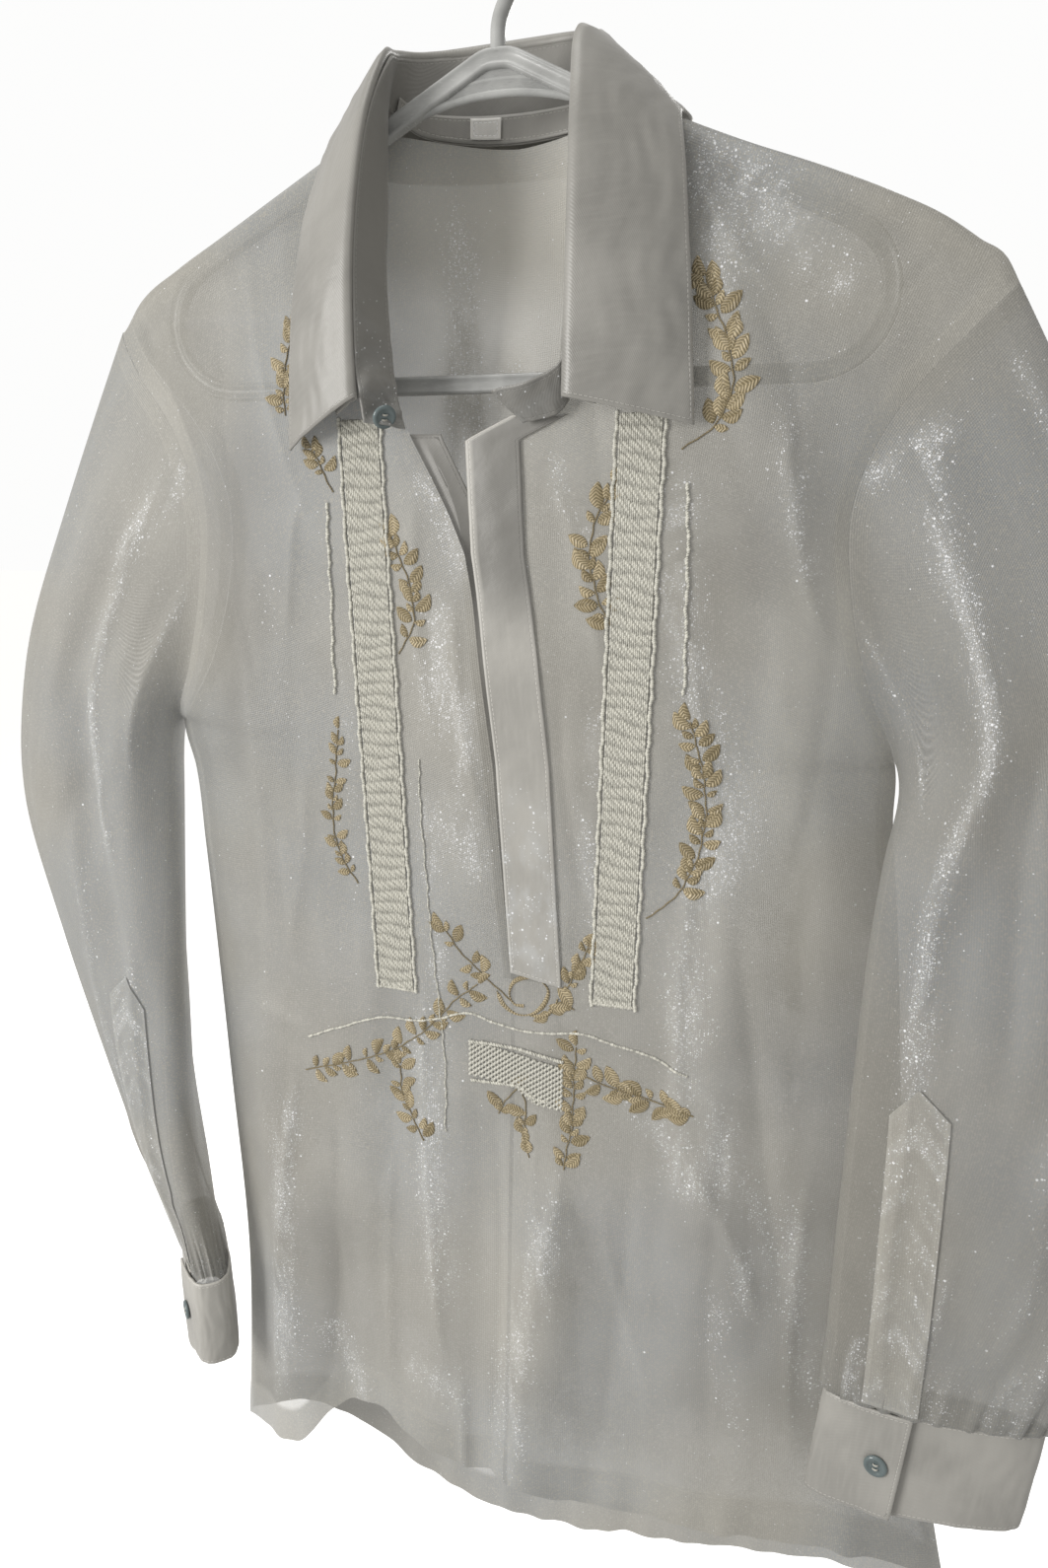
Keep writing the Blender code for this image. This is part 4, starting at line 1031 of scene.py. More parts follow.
def add_piece(name, mesh, material, slot, replaces=()):
    """Puts a mesh into the scene as a piece that rides on the shirt and stands for the nodes it replaces."""
    piece = bpy.data.objects.new(name, mesh)
    bpy.context.scene.collection.objects.link(piece)
    mesh.materials.append(material)
    mesh.shade_smooth()
    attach(piece, "root")
    if replaces:
        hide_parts(*replaces)
    return piece


SATIN_WALLS = {"cuff": 1.3, "collar": 1.1, "tape": 0.5, "label": 0.4, "placket": 0.45}


def walled(piece, wall):
    """Gives a sheet its real thickness, half to each side."""
    thickness = piece.modifiers.new("wall", "SOLIDIFY")
    thickness.thickness = wall * MM
    thickness.offset = 0.0
    thickness.use_even_offset = False
    return piece


def travelled(points, axis):
    """How far along a grid's lines each point is, in millimetres, from the first one."""
    step = np.linalg.norm(np.diff(points, axis=axis), axis=-1)
    start = np.zeros_like(np.take(step, [0], axis=axis))
    return np.cumsum(np.concatenate([start, step], axis=axis), axis=axis)


def ended(rows):
    """Rows with their first and last entries given twice, for a strand's closed ends."""
    return np.concatenate([rows[:, :1], rows, rows[:, -1:]], axis=1)


def pooled(parts):
    """One set of points, faces, field values and cloth coordinates from several."""
    points, faces, values, uvs = zip(*parts)
    starts = np.cumsum([0] + [len(part) for part in points[:-1]])
    faces = [quads + start for quads, start in zip(faces, starts)]
    return [np.concatenate(rows) for rows in (points, faces, values, uvs)]


def strip_mesh(name, grid, fields, down, across):
    """A grid of cloth with its own coordinates, across it and down it."""
    uv = np.stack([across, -down], axis=-1) / 1000
    return build_mesh(name, grid, grid_faces(*grid.shape[:2]), fields, uv)


def strands(paths, normals, radius, sides):
    """Many round strands in one mesh: rings of the given radius round each path, closed at both ends.

    paths and normals are (strands, points, 3), and radius is (strands, points) or one number.
    """
    paths = np.asarray(paths, float)
    count, length = paths.shape[:2]
    radius = np.broadcast_to(radius, (count, length))
    ahead = unit(np.gradient(paths, axis=1))
    beside = unit(np.cross(ahead, np.broadcast_to(normals, paths.shape)))
    ends, beside, lifted = (ended(rows) for rows in (paths, beside, np.cross(beside, ahead)))
    radius = np.pad(radius, ((0, 0), (1, 1)))
    angle = np.linspace(0, 2 * pi, sides, endpoint=False)
    rings = ends[:, :, None] + radius[:, :, None, None] * (
        np.cos(angle)[:, None] * beside[:, :, None] + np.sin(angle)[:, None] * lifted[:, :, None]
    )
    one = grid_faces(length + 2, sides, wrapped=True)
    faces = (one[None] + (np.arange(count) * (length + 2) * sides)[:, None, None]).reshape(-1, 4)
    gone = ended(travelled(paths, 1))
    uv = np.stack(np.broadcast_arrays((angle / (2 * pi))[None, None], gone[:, :, None] / 1000), axis=-1)
    return rings, faces, uv


# ---------------------------------------------------------------- settings

def length_setting(name, description, metres, least, most):
    return bpy.props.FloatProperty(
        name=name, description=description, default=metres, min=least, max=most, precision=5, unit="LENGTH",
    )


def colour_setting(name, description, colour):
    return bpy.props.FloatVectorProperty(
        name=name, description=description, subtype="COLOR", size=3, min=0, max=1, default=colour,
    )


class BarongSizes(bpy.types.PropertyGroup):
    """The sizes of the shirt's needlework"""

    thread_radius: length_setting("Ladder thread", "Radius of the ladders' threads", 0.00052, 0.0002, 0.001)
    rung_pitch: length_setting("Ladder rung", "Height of one rung of the ladders", 0.0064, 0.003, 0.012)
    cord_radius: length_setting("Cord", "Radius of one ply of the couched cords", 0.00056, 0.0003, 0.0015)
    leaf_length: length_setting("Leaf", "Length of a full-sized embroidered leaf", 0.0104, 0.004, 0.02)
    hem_width: length_setting("Hem", "Height of the turned-up hem", 0.024, 0.005, 0.05)


class BarongColours(bpy.types.PropertyGroup):
    """The colours of the shirt, its hanger and the floor"""

    organza: colour_setting("Organza", "Colour of the sheer cloth", (0.338, 0.326, 0.291))
    cover: bpy.props.FloatProperty(
        name="Cover", description="How much one layer of the sheer cloth hides", subtype="FACTOR",
        default=0.67, min=0.1, max=1.0,
    )
    satin: colour_setting("Satin", "Colour of the collar and the cuffs", (0.315, 0.307, 0.285))
    cream_thread: colour_setting("Cream thread", "Colour of ladders and cords", (0.555, 0.545, 0.485))
    gold_thread: colour_setting("Gold thread", "Colour of the embroidered leaves", (0.352, 0.277, 0.143))
    button: colour_setting("Button", "Colour of the buttons", (0.13, 0.165, 0.17))
    hanger: colour_setting("Hanger", "Colour of the hanger's plastic", (0.385, 0.390, 0.382))
    floor: colour_setting("Floor", "Colour of the floor and of what lies behind it", (0.98, 0.98, 0.975))


def sizes():
    """The scene's size settings."""
    return bpy.context.scene.barong_sizes


def colours():
    """The scene's colour settings."""
    return bpy.context.scene.barong_colours


# ---------------------------------------------------------------- materials

WEAVE_PITCH = 0.0011  # metres between two threads of the organza
TWILL_PITCH = 0.0009
LAID_PITCH = 0.00150  # between two threads of a leaf
HEM_STITCH, SEAM_STITCH, EDGE_STITCH = 23.0, 8.0, 1.9  # millimetres from the edge that each runs along
COOL_CAST = (0.93, 0.99, 1.10, 1)
# painted sheen colours on this line, and painted glint colours on the next
PAINTED_SHEEN_COLOUR, PAINTED_SATIN_SHEEN_COLOUR = (0.58, 0.60, 0.62, 1), (0.58, 0.62, 0.66, 1)
PAINTED_GLINT_COLOUR, PAINTED_SATIN_GLINT_COLOUR = (0.92, 0.93, 0.96, 1), (0.90, 0.92, 0.95, 1)


class Finish:
    """A material under construction, with short ways to add its nodes."""

    def __init__(self, name, colour, roughness, specular=0.5, **numbers):
        self.material = bpy.data.materials.new(name)
        self.material.use_nodes = True
        self.tree = self.material.node_tree
        self.shader = self.tree.nodes["Principled BSDF"]
        self.colour = tuple(colour)
        numbers.update(base_color=(*self.colour, 1.0), roughness=roughness, specular_ior_level=specular)
        for label, value in numbers.items():
            self.shader.inputs[label.replace("_", " ").title().replace("Ior", "IOR")].default_value = value

    def node(self, kind, inputs=None, **settings):
        """A node with its settings. Each input is a number, a colour or another node's output."""
        made = self.tree.nodes.new("ShaderNode" + kind)
        for name, value in settings.items():
            setattr(made, name, value)
        for socket, value in (inputs or {}).items():
            if isinstance(value, bpy.types.NodeSocket):
                self.tree.links.new(value, made.inputs[socket])
            else:
                made.inputs[socket].default_value = value
        return made

    def math(self, operation, a, b=0.0, c=0.0, clamp=False):
        return self.node("Math", {0: a, 1: b, 2: c}, operation=operation, use_clamp=clamp).outputs[0]

    def times(self, a, b):
        return self.math("MULTIPLY", a, b)

    def scaled(self, value, share, more, clamp=False):
        """value * share + more"""
        return self.math("MULTIPLY_ADD", value, share, more, clamp)

    def most(self, a, b, clamp=False):
        return self.math("MAXIMUM", a, b, clamp=clamp)

    def waves(self, value, pitch):
        """A sine wave along a value, from -1 to 1."""
        return self.math("SINE", self.times(value, 2 * pi / pitch))

    def ramp(self, value, low, high, out_low=0.0, out_high=1.0):
        """A smooth step from one level to the other, as the value goes from low to high."""
        inputs = {0: value, 1: low, 2: high, 3: out_low, 4: out_high}
        return self.node("MapRange", inputs, interpolation_type="SMOOTHSTEP").outputs[0]

    def blend(self, factor, a, b, way="MIX"):
        inputs = {0: factor, 6: a, 7: b}
        return self.node("Mix", inputs, data_type="RGBA", blend_type=way, clamp_result=True).outputs[2]

    def tone(self, share, more=0.0):
        """The material's own colour, darker or paler, never over 1."""
        return (*[min(1.0, share * part + more) for part in self.colour], 1)

    def over(self, base, mask, share, colour):
        """The colour laid over the base where the mask is, by that share."""
        return self.blend(self.times(mask, share), base, colour)

    def mottle(self, cloud, low, high, dark, light):
        """The material's own colour, uneven between two of its tones."""
        return self.blend(self.ramp(cloud, low, high), self.tone(dark), self.tone(light))

    def place(self):
        """The point's place in the piece, in metres."""
        return self.node("TexCoord").outputs["Object"]

    def cloth_place(self, size=(1.0, 1.0, 1.0)):
        """The point's place on the cloth, in metres, stretched by size."""
        flat = self.node("TexCoord").outputs["UV"]
        return self.node("Mapping", {0: flat, 3: size}).outputs[0]

    def cloth_axes(self):
        """The cloth's own coordinates in metres: across it, and along it."""
        return self.node("SeparateXYZ", {0: self.cloth_place()}).outputs[:2]

    def field(self, name):
        """A number that the mesh gives at each of its points."""
        return self.node("Attribute", attribute_name=name).outputs["Fac"]

    def noise(self, size, detail=3.0, where=None, roughness=0.5):
        """Soft noise whose largest lumps are about the given size in metres."""
        inputs = {"Scale": 1 / size, "Detail": detail, "Roughness": roughness}
        return self.node("TexNoise", {"Vector": where or self.place()} | inputs).outputs[0]

    def patches(self, size, stretch, low, high):
        """Ragged patches on the cloth, drawn out along it."""
        return self.ramp(self.noise(size, 3.0, self.cloth_place((1.0, stretch, 1.0)), 0.62), low, high)

    def link(self, value, socket):
        self.tree.links.new(value, self.shader.inputs[socket])

    def bump(self, height, depth, strength=1.0):
        inputs = {"Height": height, "Distance": depth, "Strength": strength}
        self.link(self.node("Bump", inputs).outputs[0], "Normal")

    def weave(self, pitch):
        """Two crossing sets of threads, from 0 to 1."""
        warp, weft = (self.waves(axis, pitch) for axis in self.cloth_axes())
        return self.scaled(self.math("ADD", warp, weft), 0.25, 0.5)

    def glints(self, cell, share):
        """Painted glints: single bright points at the middle of some cells, more of them where share is
        higher, and each as bright as its own lot."""
        cells = self.node("TexVoronoi", {"Vector": self.place(), "Scale": 1.0 / cell})
        point = self.ramp(cells.outputs["Distance"], 0.42, 0.20)
        lot = self.node("SeparateColor", {0: cells.outputs["Color"]})
        lit = self.math("LESS_THAN", lot.outputs[0], share)
        return self.times(self.times(point, lit), self.ramp(lot.outputs[1], 0.1, 1.0, 0.12, 0.95))

    def dashes(self, edge, at, width, along, pitch):
        """A row of stitches: a thin line at one distance from an edge, broken at each stitch's end."""
        line = self.ramp(self.math("ABSOLUTE", self.math("SUBTRACT", edge, at)), width, width * 0.5)
        return self.times(line, self.ramp(self.waves(along, pitch), -0.75, -0.35))


SHEER_CLOTHS = {  # how pale each sheer cloth is, and how much it hides; the sleeves' darker tones are painted shade, deepest on the wearer's left one, away from the key lamp
    "front": (1.0, 1.0),
    "back": (0.96, 1.25),
    "right_sleeve": (0.90, 1.18),
    "left_sleeve": (0.74, 1.20),
    "placket": (1.0, 1.12),
}
# how pale each copy of the satin is: the right cuff paler than the left as painted light from the key lamp's
# side, and the placket paler as painted sheen
SATIN_TONES = {"right_cuff": 1.30, "left_cuff": 1.04, "collar": 0.87, "tape": 0.86, "placket": 1.22}


def organza(piece):
    """Sheer cloth: see-through threads, denser where it is folded over at a hem or a seam, with painted
    sheen, painted glints, and painted shade and light from its fields.
    """
    settings = colours()
    shade, cover = SHEER_CLOTHS[piece]
    tint, name = [shade * part for part in settings.organza], f"{piece}_organza"
    made = Finish(name, tint, 0.46, 0.45, sheen_weight=0.25, sheen_roughness=0.45)
    weave = made.weave(WEAVE_PITCH)
    cloud = made.noise(0.055, 3.0)
    painted_sheen_streak = made.noise(0.012, 3.0, made.cloth_place((1.0, 0.09, 1.0)))
    along, darker = made.field("along"), made.field("shade")
    folded = made.most(made.field("double"), made.field("dense"))
    stitch = made.most(made.dashes(made.field("from_hem"), HEM_STITCH, 0.45, along, 2.6),
                       made.dashes(made.field("from_seam"), SEAM_STITCH, 0.40, along, 2.4))
    painted_sheen_patch = made.times(made.ramp(made.field("painted_sheen"), 0.10, 0.85), made.patches(0.017, 0.34, 0.34, 0.58))
    painted_glints = made.most(made.glints(0.00105, made.scaled(painted_sheen_patch, 0.72, 0.006)),
                       made.glints(0.00070, made.scaled(painted_sheen_patch, 0.75, 0.010)))
    painted_glints = made.most(painted_glints, made.glints(0.0019, made.scaled(painted_sheen_patch, 0.40, 0.0012)))

    base = made.mottle(cloud, 0.30, 0.70, 0.97, 1.03)
    # painted sheen: paler streaks drawn out down the cloth
    base = made.over(base, made.ramp(painted_sheen_streak, 0.45, 0.75), 0.35, made.tone(1.22))
    hue = made.ramp(made.noise(0.15, 2.0), 0.36, 0.64)
    base = made.blend(hue, base, made.blend(1.0, base, COOL_CAST, "MULTIPLY"))
    # painted sheen where the sheen field is
    base = made.over(base, painted_sheen_patch, 0.19, PAINTED_SHEEN_COLOUR)
    base = made.over(base, stitch, 0.28, made.tone(1.4))
    # a fine paler grain everywhere, painted sparkle
    base = made.blend(made.ramp(made.noise(0.0009, 1.0), 0.46, 0.70), base, made.tone(1.20))
    # painted shade where the shade field is above 0, and painted light where it is below 0
    base = made.blend(darker, base, made.tone(0.55))
    base = made.over(base, darker, -1.0, made.tone(1.90))
    # painted glints: the bright specks
    made.link(made.blend(painted_glints, base, PAINTED_GLINT_COLOUR), "Base Color")

    veil = made.scaled(made.ramp(cloud, 0.25, 0.75), 0.10, settings.cover * cover - 0.05)
    veil = made.scaled(made.math("SUBTRACT", weave, 0.5), 0.16, veil)
    veil = made.scaled(painted_sheen_patch, 0.12, veil)
    veil = made.scaled(folded, made.math("SUBTRACT", 0.97, veil), veil)
    veil = made.most(made.most(veil, painted_glints), made.times(stitch, 0.9), clamp=True)
    made.link(veil, "Alpha")
    made.bump(made.scaled(made.noise(0.006, 2.0), 1.2, weave), 0.00016, 0.8)
    return made.material


def satin(name, paler, colour=None):
    """Close satin: a fine twill, a slightly uneven sheen, partly real gloss and partly painted in paler
    streaks, and a row of stitches along its edge, with a painted highlight along the edge, painted shade, and
    painted sheen and glints from its fields.
    """
    tint = [paler * part for part in colour or colours().satin]
    made = Finish(name, tint, 0.36, sheen_weight=0.18, sheen_roughness=0.35)
    cloud = made.noise(0.04, 4.0)
    across, down = made.cloth_axes()
    twill = made.waves(made.scaled(across, 0.55, down), TWILL_PITCH)
    thread = made.noise(0.0022, 2.0, made.cloth_place((1.0, 0.12, 1.0)))
    edge = made.field("from_edge")
    stitch = made.dashes(edge, EDGE_STITCH, 0.34, made.field("along"), 2.3)
    painted_sheen_patch = made.times(made.field("painted_sheen"), made.patches(0.011, 0.45, 0.40, 0.62))
    painted_glints = made.most(made.glints(0.0011, made.times(painted_sheen_patch, 0.62)),
                       made.glints(0.0018, made.times(painted_sheen_patch, 0.40)))

    base = made.mottle(cloud, 0.32, 0.68, 0.90, 1.10)
    base = made.over(base, made.ramp(thread, 0.4, 0.75), 0.30, made.tone(1.18))
    # painted highlight along the rolled edge
    base = made.over(base, made.ramp(edge, 1.6, 0.2), 0.45, made.tone(1.5))
    base = made.over(base, stitch, 0.7, made.tone(1.7))
    # painted shade where the shade field is
    base = made.blend(made.field("shade"), base, made.tone(0.52))
    # painted sheen in patches, then the painted glints
    base = made.over(base, painted_sheen_patch, 0.34, PAINTED_SATIN_SHEEN_COLOUR)
    made.link(made.blend(painted_glints, base, PAINTED_SATIN_GLINT_COLOUR), "Base Color")
    made.link(made.scaled(cloud, 0.24, 0.26), "Roughness")
    height = made.scaled(twill, 0.12, made.times(made.noise(0.010, 3.0), 2.2))
    made.bump(made.math("SUBTRACT", height, made.times(stitch, 1.6)), 0.00025, 0.7)
    return made.material


def spun_thread(name, colour, twist=0.0016, gloss=0.42):
    """Spun thread: fibres twisted round it, with a painted highlight where it stands out and painted shade
    where it is pulled down.
    """
    made = Finish(name, colour, gloss, 0.45, sheen_weight=0.3, sheen_roughness=0.5)
    around, along = made.cloth_axes()
    fibre = made.waves(made.math("ADD", around, made.math("DIVIDE", along, twist)), 0.5)
    fuzz = made.noise(0.0012, 3.0)
    stand = made.field("stand")
    base = made.mottle(fuzz, 0.3, 0.7, 0.88, 1.08)
    base = made.blend(made.ramp(stand, 0.0, 0.8), made.tone(0.62), base)
    made.link(made.over(base, made.ramp(stand, 0.7, 1.15), 0.60, made.tone(1.40)), "Base Color")
    made.bump(made.scaled(fibre, 0.5, fuzz), 0.00012, 0.8)
    return made.material


def satin_stitch(name, colour):
    """Embroidery: glossy threads laid side by side across each leaf, in tones that change with the leaf, with
    painted shade between the threads and a painted highlight on their crests.
    """
    made = Finish(name, colour, 0.34, sheen_weight=0.15, sheen_roughness=0.4)
    across, along = made.cloth_axes()
    slant = made.scaled(made.math("ABSOLUTE", across), 0.7, along)
    thread = made.waves(made.scaled(made.noise(0.003, 2.0), 0.0012, slant), LAID_PITCH)
    base = made.blend(made.field("tone"), made.tone(0.70), made.tone(1.20, 0.09))
    base = made.over(base, made.ramp(thread, 0.1, -0.8), 0.80, made.tone(0.42))
    made.link(made.over(base, made.ramp(thread, 0.7, 1.0), 0.35, made.tone(1.3, 0.25)), "Base Color")
    made.bump(thread, 0.00020, 0.9)
    return made.material


def moulded_plastic(name, colour, roughness, cloudy=0.0):
    """Moulded plastic: a clear gloss with slight flow marks and a few fine scratches."""
    made = Finish(name, colour, roughness, coat_weight=0.35, coat_roughness=0.08, ior=1.49)
    flow = made.noise(0.018, 4.0)
    marks = made.noise(0.004, 5.0, made.node("Mapping", {0: made.place(), 3: (1.0, 1.0, 7.0)}).outputs[0])
    base = made.mottle(flow, 0.3, 0.7, 0.86, 1.12)
    made.link(made.over(base, made.ramp(marks, 0.62, 0.74), 0.25, made.tone(1.5)), "Base Color")
    made.link(made.scaled(marks, 0.22, roughness - 0.08), "Roughness")
    if cloudy:
        made.link(made.scaled(flow, 0.12, 1.0 - cloudy, clamp=True), "Alpha")
    made.bump(made.math("ADD", flow, made.times(marks, 0.3)), 0.0003, 0.25)
    return made.material


def floor_paint(name, colour, glow):
    """Pale paint, lit a little from within so that its far part is as pale as what lies behind it."""
    made = Finish(name, colour, 0.85, 0.1, emission_color=(*colour, 1), emission_strength=glow)
    made.link(made.mottle(made.noise(0.25, 3.0), 0.3, 0.7, 0.992, 1.0), "Base Color")
    return made.material


# ---------------------------------------------------------------- the pieces' shapes

ALLOWANCE = 9.0  # of a panel's seams, in millimetres
SLEEVE_ALLOWANCE = 8.0
HEM_FLARE = 46.0  # how high over the hem the cloth begins to wave
NO_HEM = 900.0  # the distance that a piece with no hem gives


def sheet_fields(points, painted_sheen):
    """Distances in millimetres from the hem, the last row, and from the seam, the first column."""
    down = travelled(points, 0)
    across = travelled(points, 1)
    from_hem = down[-1:] - down
    from_seam = across - across[:, :1]
    return {
        "from_hem": from_hem,
        "from_seam": np.abs(from_seam),
        "along": down + across * (from_hem < 40),
        "painted_sheen": np.clip(painted_sheen, 0, 1),
        "down": down,
        "across": across,
    }


def folded_over(fields, hem):
    """How double the cloth is: the turned-up hem, and the seams' allowances at the side and the shoulder."""
    turned = 1 - ease((fields["from_hem"] - hem) / 1.4)
    seam = 1 - ease((fields["from_seam"] - ALLOWANCE) / 1.2)
    shoulder = 1 - ease((fields["down"] - ALLOWANCE) / 1.2)
    return np.maximum(np.maximum(0.80 * turned, 0.50 * seam), 0.50 * shoulder)


def panel_half(face, side, hem):
    """Half of a panel with its fields: creases in its shape, painted sheen along them and on the lines for
    it, and painted shade and light.
    """
    x, level = half_panel(face, side, PANEL_ROWS, PANEL_COLUMNS)
    points = on_panel(face, x, level)
    down = travelled(points, 0)
    near_hem = ease((down - down[-1:] + HEM_FLARE) / HEM_FLARE)
    points[..., 1] += face * near_hem * (1.6 + 1.8 * ripples(x, level * 0.1, 52.0))
    points[..., 2] += near_hem * 1.6 * ripples(x + 31, level * 0.05, 38.0)
    # painted sheen along its lines and on the creases' ridges
    shine = line_field(PAINTED_SHEEN[face], x, level)
    ridge = line_field(CREASES[face], x, level)
    painted_sheen = shine + 0.10 * np.clip(ridge, 0, 3) + 0.04 * ripples(x, level, 60.0)
    fields = sheet_fields(points, painted_sheen)
    neck = 1 - ease((np.abs(x) - 104.0) / 24.0) if face == BACK else 0.0
    fields["double"] = folded_over(fields, hem) * (1 - 0.8 * neck * (fields["down"] < 14))
    fields["dense"] = 0.10 * np.clip(np.abs(ridge), 0, 2.5)
    if face == BACK:
        fields["dense"] = np.maximum(fields["dense"], ease((level - 20.0) / 50.0) * neck)
    # painted shade, and below 0 painted light
    fields["shade"] = np.clip(line_field(PAINTED_SHADE[face], x, level), -1, 1)
    uv = np.stack([side * (fields["across"] - fields["across"][:, -1:]), -fields["down"]], axis=-1) / 1000
    return points, fields, uv


def panel_mesh(name, face, hem):
    """A panel from its two halves. They share their middle points wherever those lie together."""
    halves = [panel_half(face, side, hem) for side in (WEARERS_RIGHT, WEARERS_LEFT)]
    rows, columns = halves[0][0].shape[:2]
    faces = [grid_faces(rows, columns), grid_faces(rows, columns) + rows * columns]
    points = np.concatenate([half[0].reshape(-1, 3) for half in halves])
    right = np.arange(rows) * columns + columns - 1
    left = right + rows * columns
    met = np.linalg.norm(points[right] - points[left], axis=1) < 0.2
    points[right[met]] = points[left[met]] = (points[right[met]] + points[left[met]]) / 2
    keep = np.arange(len(points))
    keep[left[met]] = right[met]
    faces = np.concatenate([faces[0], faces[1][:, ::-1]])
    faces = keep[faces]
    fields = {
        label: np.concatenate([half[1][label].ravel() for half in halves])
        for label in ("from_hem", "from_seam", "along", "painted_sheen", "double", "dense", "shade")
    }
    uv = np.concatenate([half[2].reshape(-1, 2) for half in halves])
    used, faces = np.unique(faces, return_inverse=True)
    faces = faces.reshape(-1, 4)
    fields = {label: values[used] for label, values in fields.items()}
    mesh = build_mesh(name, points[used], faces, fields, uv[used])
    outward(mesh, (0, face, 0))
    return mesh


def sleeve_mesh(name, side):
    """A sleeve from the armhole to inside its cuff, gathered a little into it, with a seam under the arm."""
    share = np.concatenate([np.linspace(0, 1, SLEEVE_ROWS), np.full(4, 1.0)])[:, None]
    angle = np.linspace(0, 2 * pi, SLEEVE_SIDES, endpoint=False)[None, :]
    gather = 0.9 * np.sin(angle * 26) + 0.6 * np.sin(angle * 41 + 1.0)
    near_cuff = ease((share - 0.90) / 0.10)
    points = sleeve_points(side, share, angle, lift=gather * near_cuff)
    inside = np.linspace(0.01, 0.07, 4)[:, None]
    points[-4:] = cuff_points(side, inside, angle, lift=-2.0 - inside * 14)
    degrees = np.degrees(angle) + 0 * share
    # painted sheen along the creases' lines, a little everywhere and more near the cuff
    painted_sheen = line_field(sleeve_lines(side, SHINE), degrees, share * SLEEVE_UNITS) + 0.05
    painted_sheen = painted_sheen + 0.35 * ease((share - 0.86) / 0.12) * (0.6 + 0.4 * np.sin(angle * 9))
    down = travelled(points, 0)
    around = travelled(points, 1)
    middle = SLEEVE_SIDES // 2
    from_seam = np.abs(around - around[:, middle:middle + 1])
    turned = 1 - ease((down - SLEEVE_ALLOWANCE) / 1.2)
    under_arm = 1 - ease((from_seam - SLEEVE_ALLOWANCE) / 1.2)
    fields = {
        "from_hem": NO_HEM + 0 * down,
        "from_seam": np.minimum(from_seam, down + 0.01),
        "along": down + around * (down < 12),
        "painted_sheen": np.clip(painted_sheen, 0, 1),
        "double": 0.45 * np.maximum(turned, under_arm),
        "dense": 0 * down,
        "shade": 0 * down,
    }
    uv = np.stack([around, -down], axis=-1) / 1000
    mesh = build_mesh(name, points, grid_faces(*points.shape[:2], wrapped=True), fields, uv)
    outward_from_axis(mesh, points)
    return mesh


def strip_fields(points):
    """Distances from the nearest edge of a small strip, for its edge stitches, and along it."""
    down, across = travelled(points, 0), travelled(points, 1)
    rows = np.minimum(down, down[-1:] - down)
    columns = np.minimum(across, across[:, -1:] - across)
    fields = {"from_edge": np.minimum(rows, columns), "along": np.where(rows < columns, across, down)}
    return fields | {"shade": 0 * down, "painted_sheen": 0 * down}, down, across


def cuff_grid(side):
    """The cuff's strip, lapped over itself, slightly puffed between its edges and creased at its folds."""
    angle = spiral_angles(CUFF_COLUMNS)[None, :]
    turned = (angle - angle[0, 0]) / (2 * pi)
    share = np.linspace(0, 1, CUFF_ROWS)[:, None]
    puff = 0.55 * np.clip(np.sin(pi * share), 0, 1) ** 0.5 + 0.35 * ripples(angle * 52, share * 60, 26.0)
    free = ease((0.06 - turned) / 0.06) * (0.5 + 0.8 * share)
    return cuff_points(side, share, angle, lift=puff + 1.4 * free - CUFF_LAP_STEP * turned)


def leaf_grid():
    """The collar's leaf, with its rolled fold: from inside the stand's top, over it, and down to its edge."""
    steps = np.linspace(0, 1, COLLAR_STEPS + 1)
    knots = np.linspace(0, 1, len(COLLAR_LEAF))
    fold, edge = run_through(COLLAR_LEAF, 0, steps), run_through(COLLAR_LEAF, 3, steps)
    outward_way = unit(np.cross(np.gradient(fold, axis=0), edge - fold))
    away = unit(edge - fold)
    across = np.linspace(0, 1, LEAF_ROWS)[:, None, None]
    bulge = through(knots, column(COLLAR_LEAF, 6), steps)[:, None] * np.sin(pi * across) ** 0.8
    s = steps[None, :, None] * 520
    wave = 0.8 * ripples(s, across * 70, 64.0) + 0.45 * ripples(across * 60, s, 22.0)
    wave = wave * np.sin(pi * np.clip(across, 0.03, 1) * 0.62)
    body = fold * (1 - across) + edge * across + outward_way * (bulge + wave)
    turn = np.radians(np.linspace(250, 20, 9))[:, None, None]
    centre = fold - outward_way * 1.1 + away * FOLD_RADIUS * 0.55
    roll = centre + FOLD_RADIUS * (np.cos(turn) * outward_way * 0.9 - np.sin(turn) * away)
    inner = roll[:1] + away * np.array([11.0, 7.0, 3.0])[:, None, None] - outward_way * np.array(
        [0.5, 0.5, 0.3])[:, None, None]
    return np.concatenate([inner, roll[:-2], body[2:]])


def stand_grid():
    """The collar's stand, crumpled where its two ends hang loose at the front."""
    along = np.linspace(0, 1, COLLAR_STEPS + 1)[None, :]
    up = np.linspace(0, 1, STAND_ROWS)[:, None]
    right_end = ease((0.11 - along) / 0.09)
    left_end = ease((along - 0.905) / 0.07)
    s = along * 560
    lift = 0.25 * ripples(s, up * 36, 44.0)
    right_curl = 2.2 * np.sin(s * 0.28 + up * 2.6) * np.sin(pi * up) + 1.1 * ripples(s, up * 34, 13.0)
    left_curl = 1.2 * np.sin(s * 0.20 + up * 3.0) * up + 0.6 * ripples(s, up * 34, 15.0)
    lift = lift + right_end * right_curl + left_end * left_curl
    return on_stand(along, up, lift)


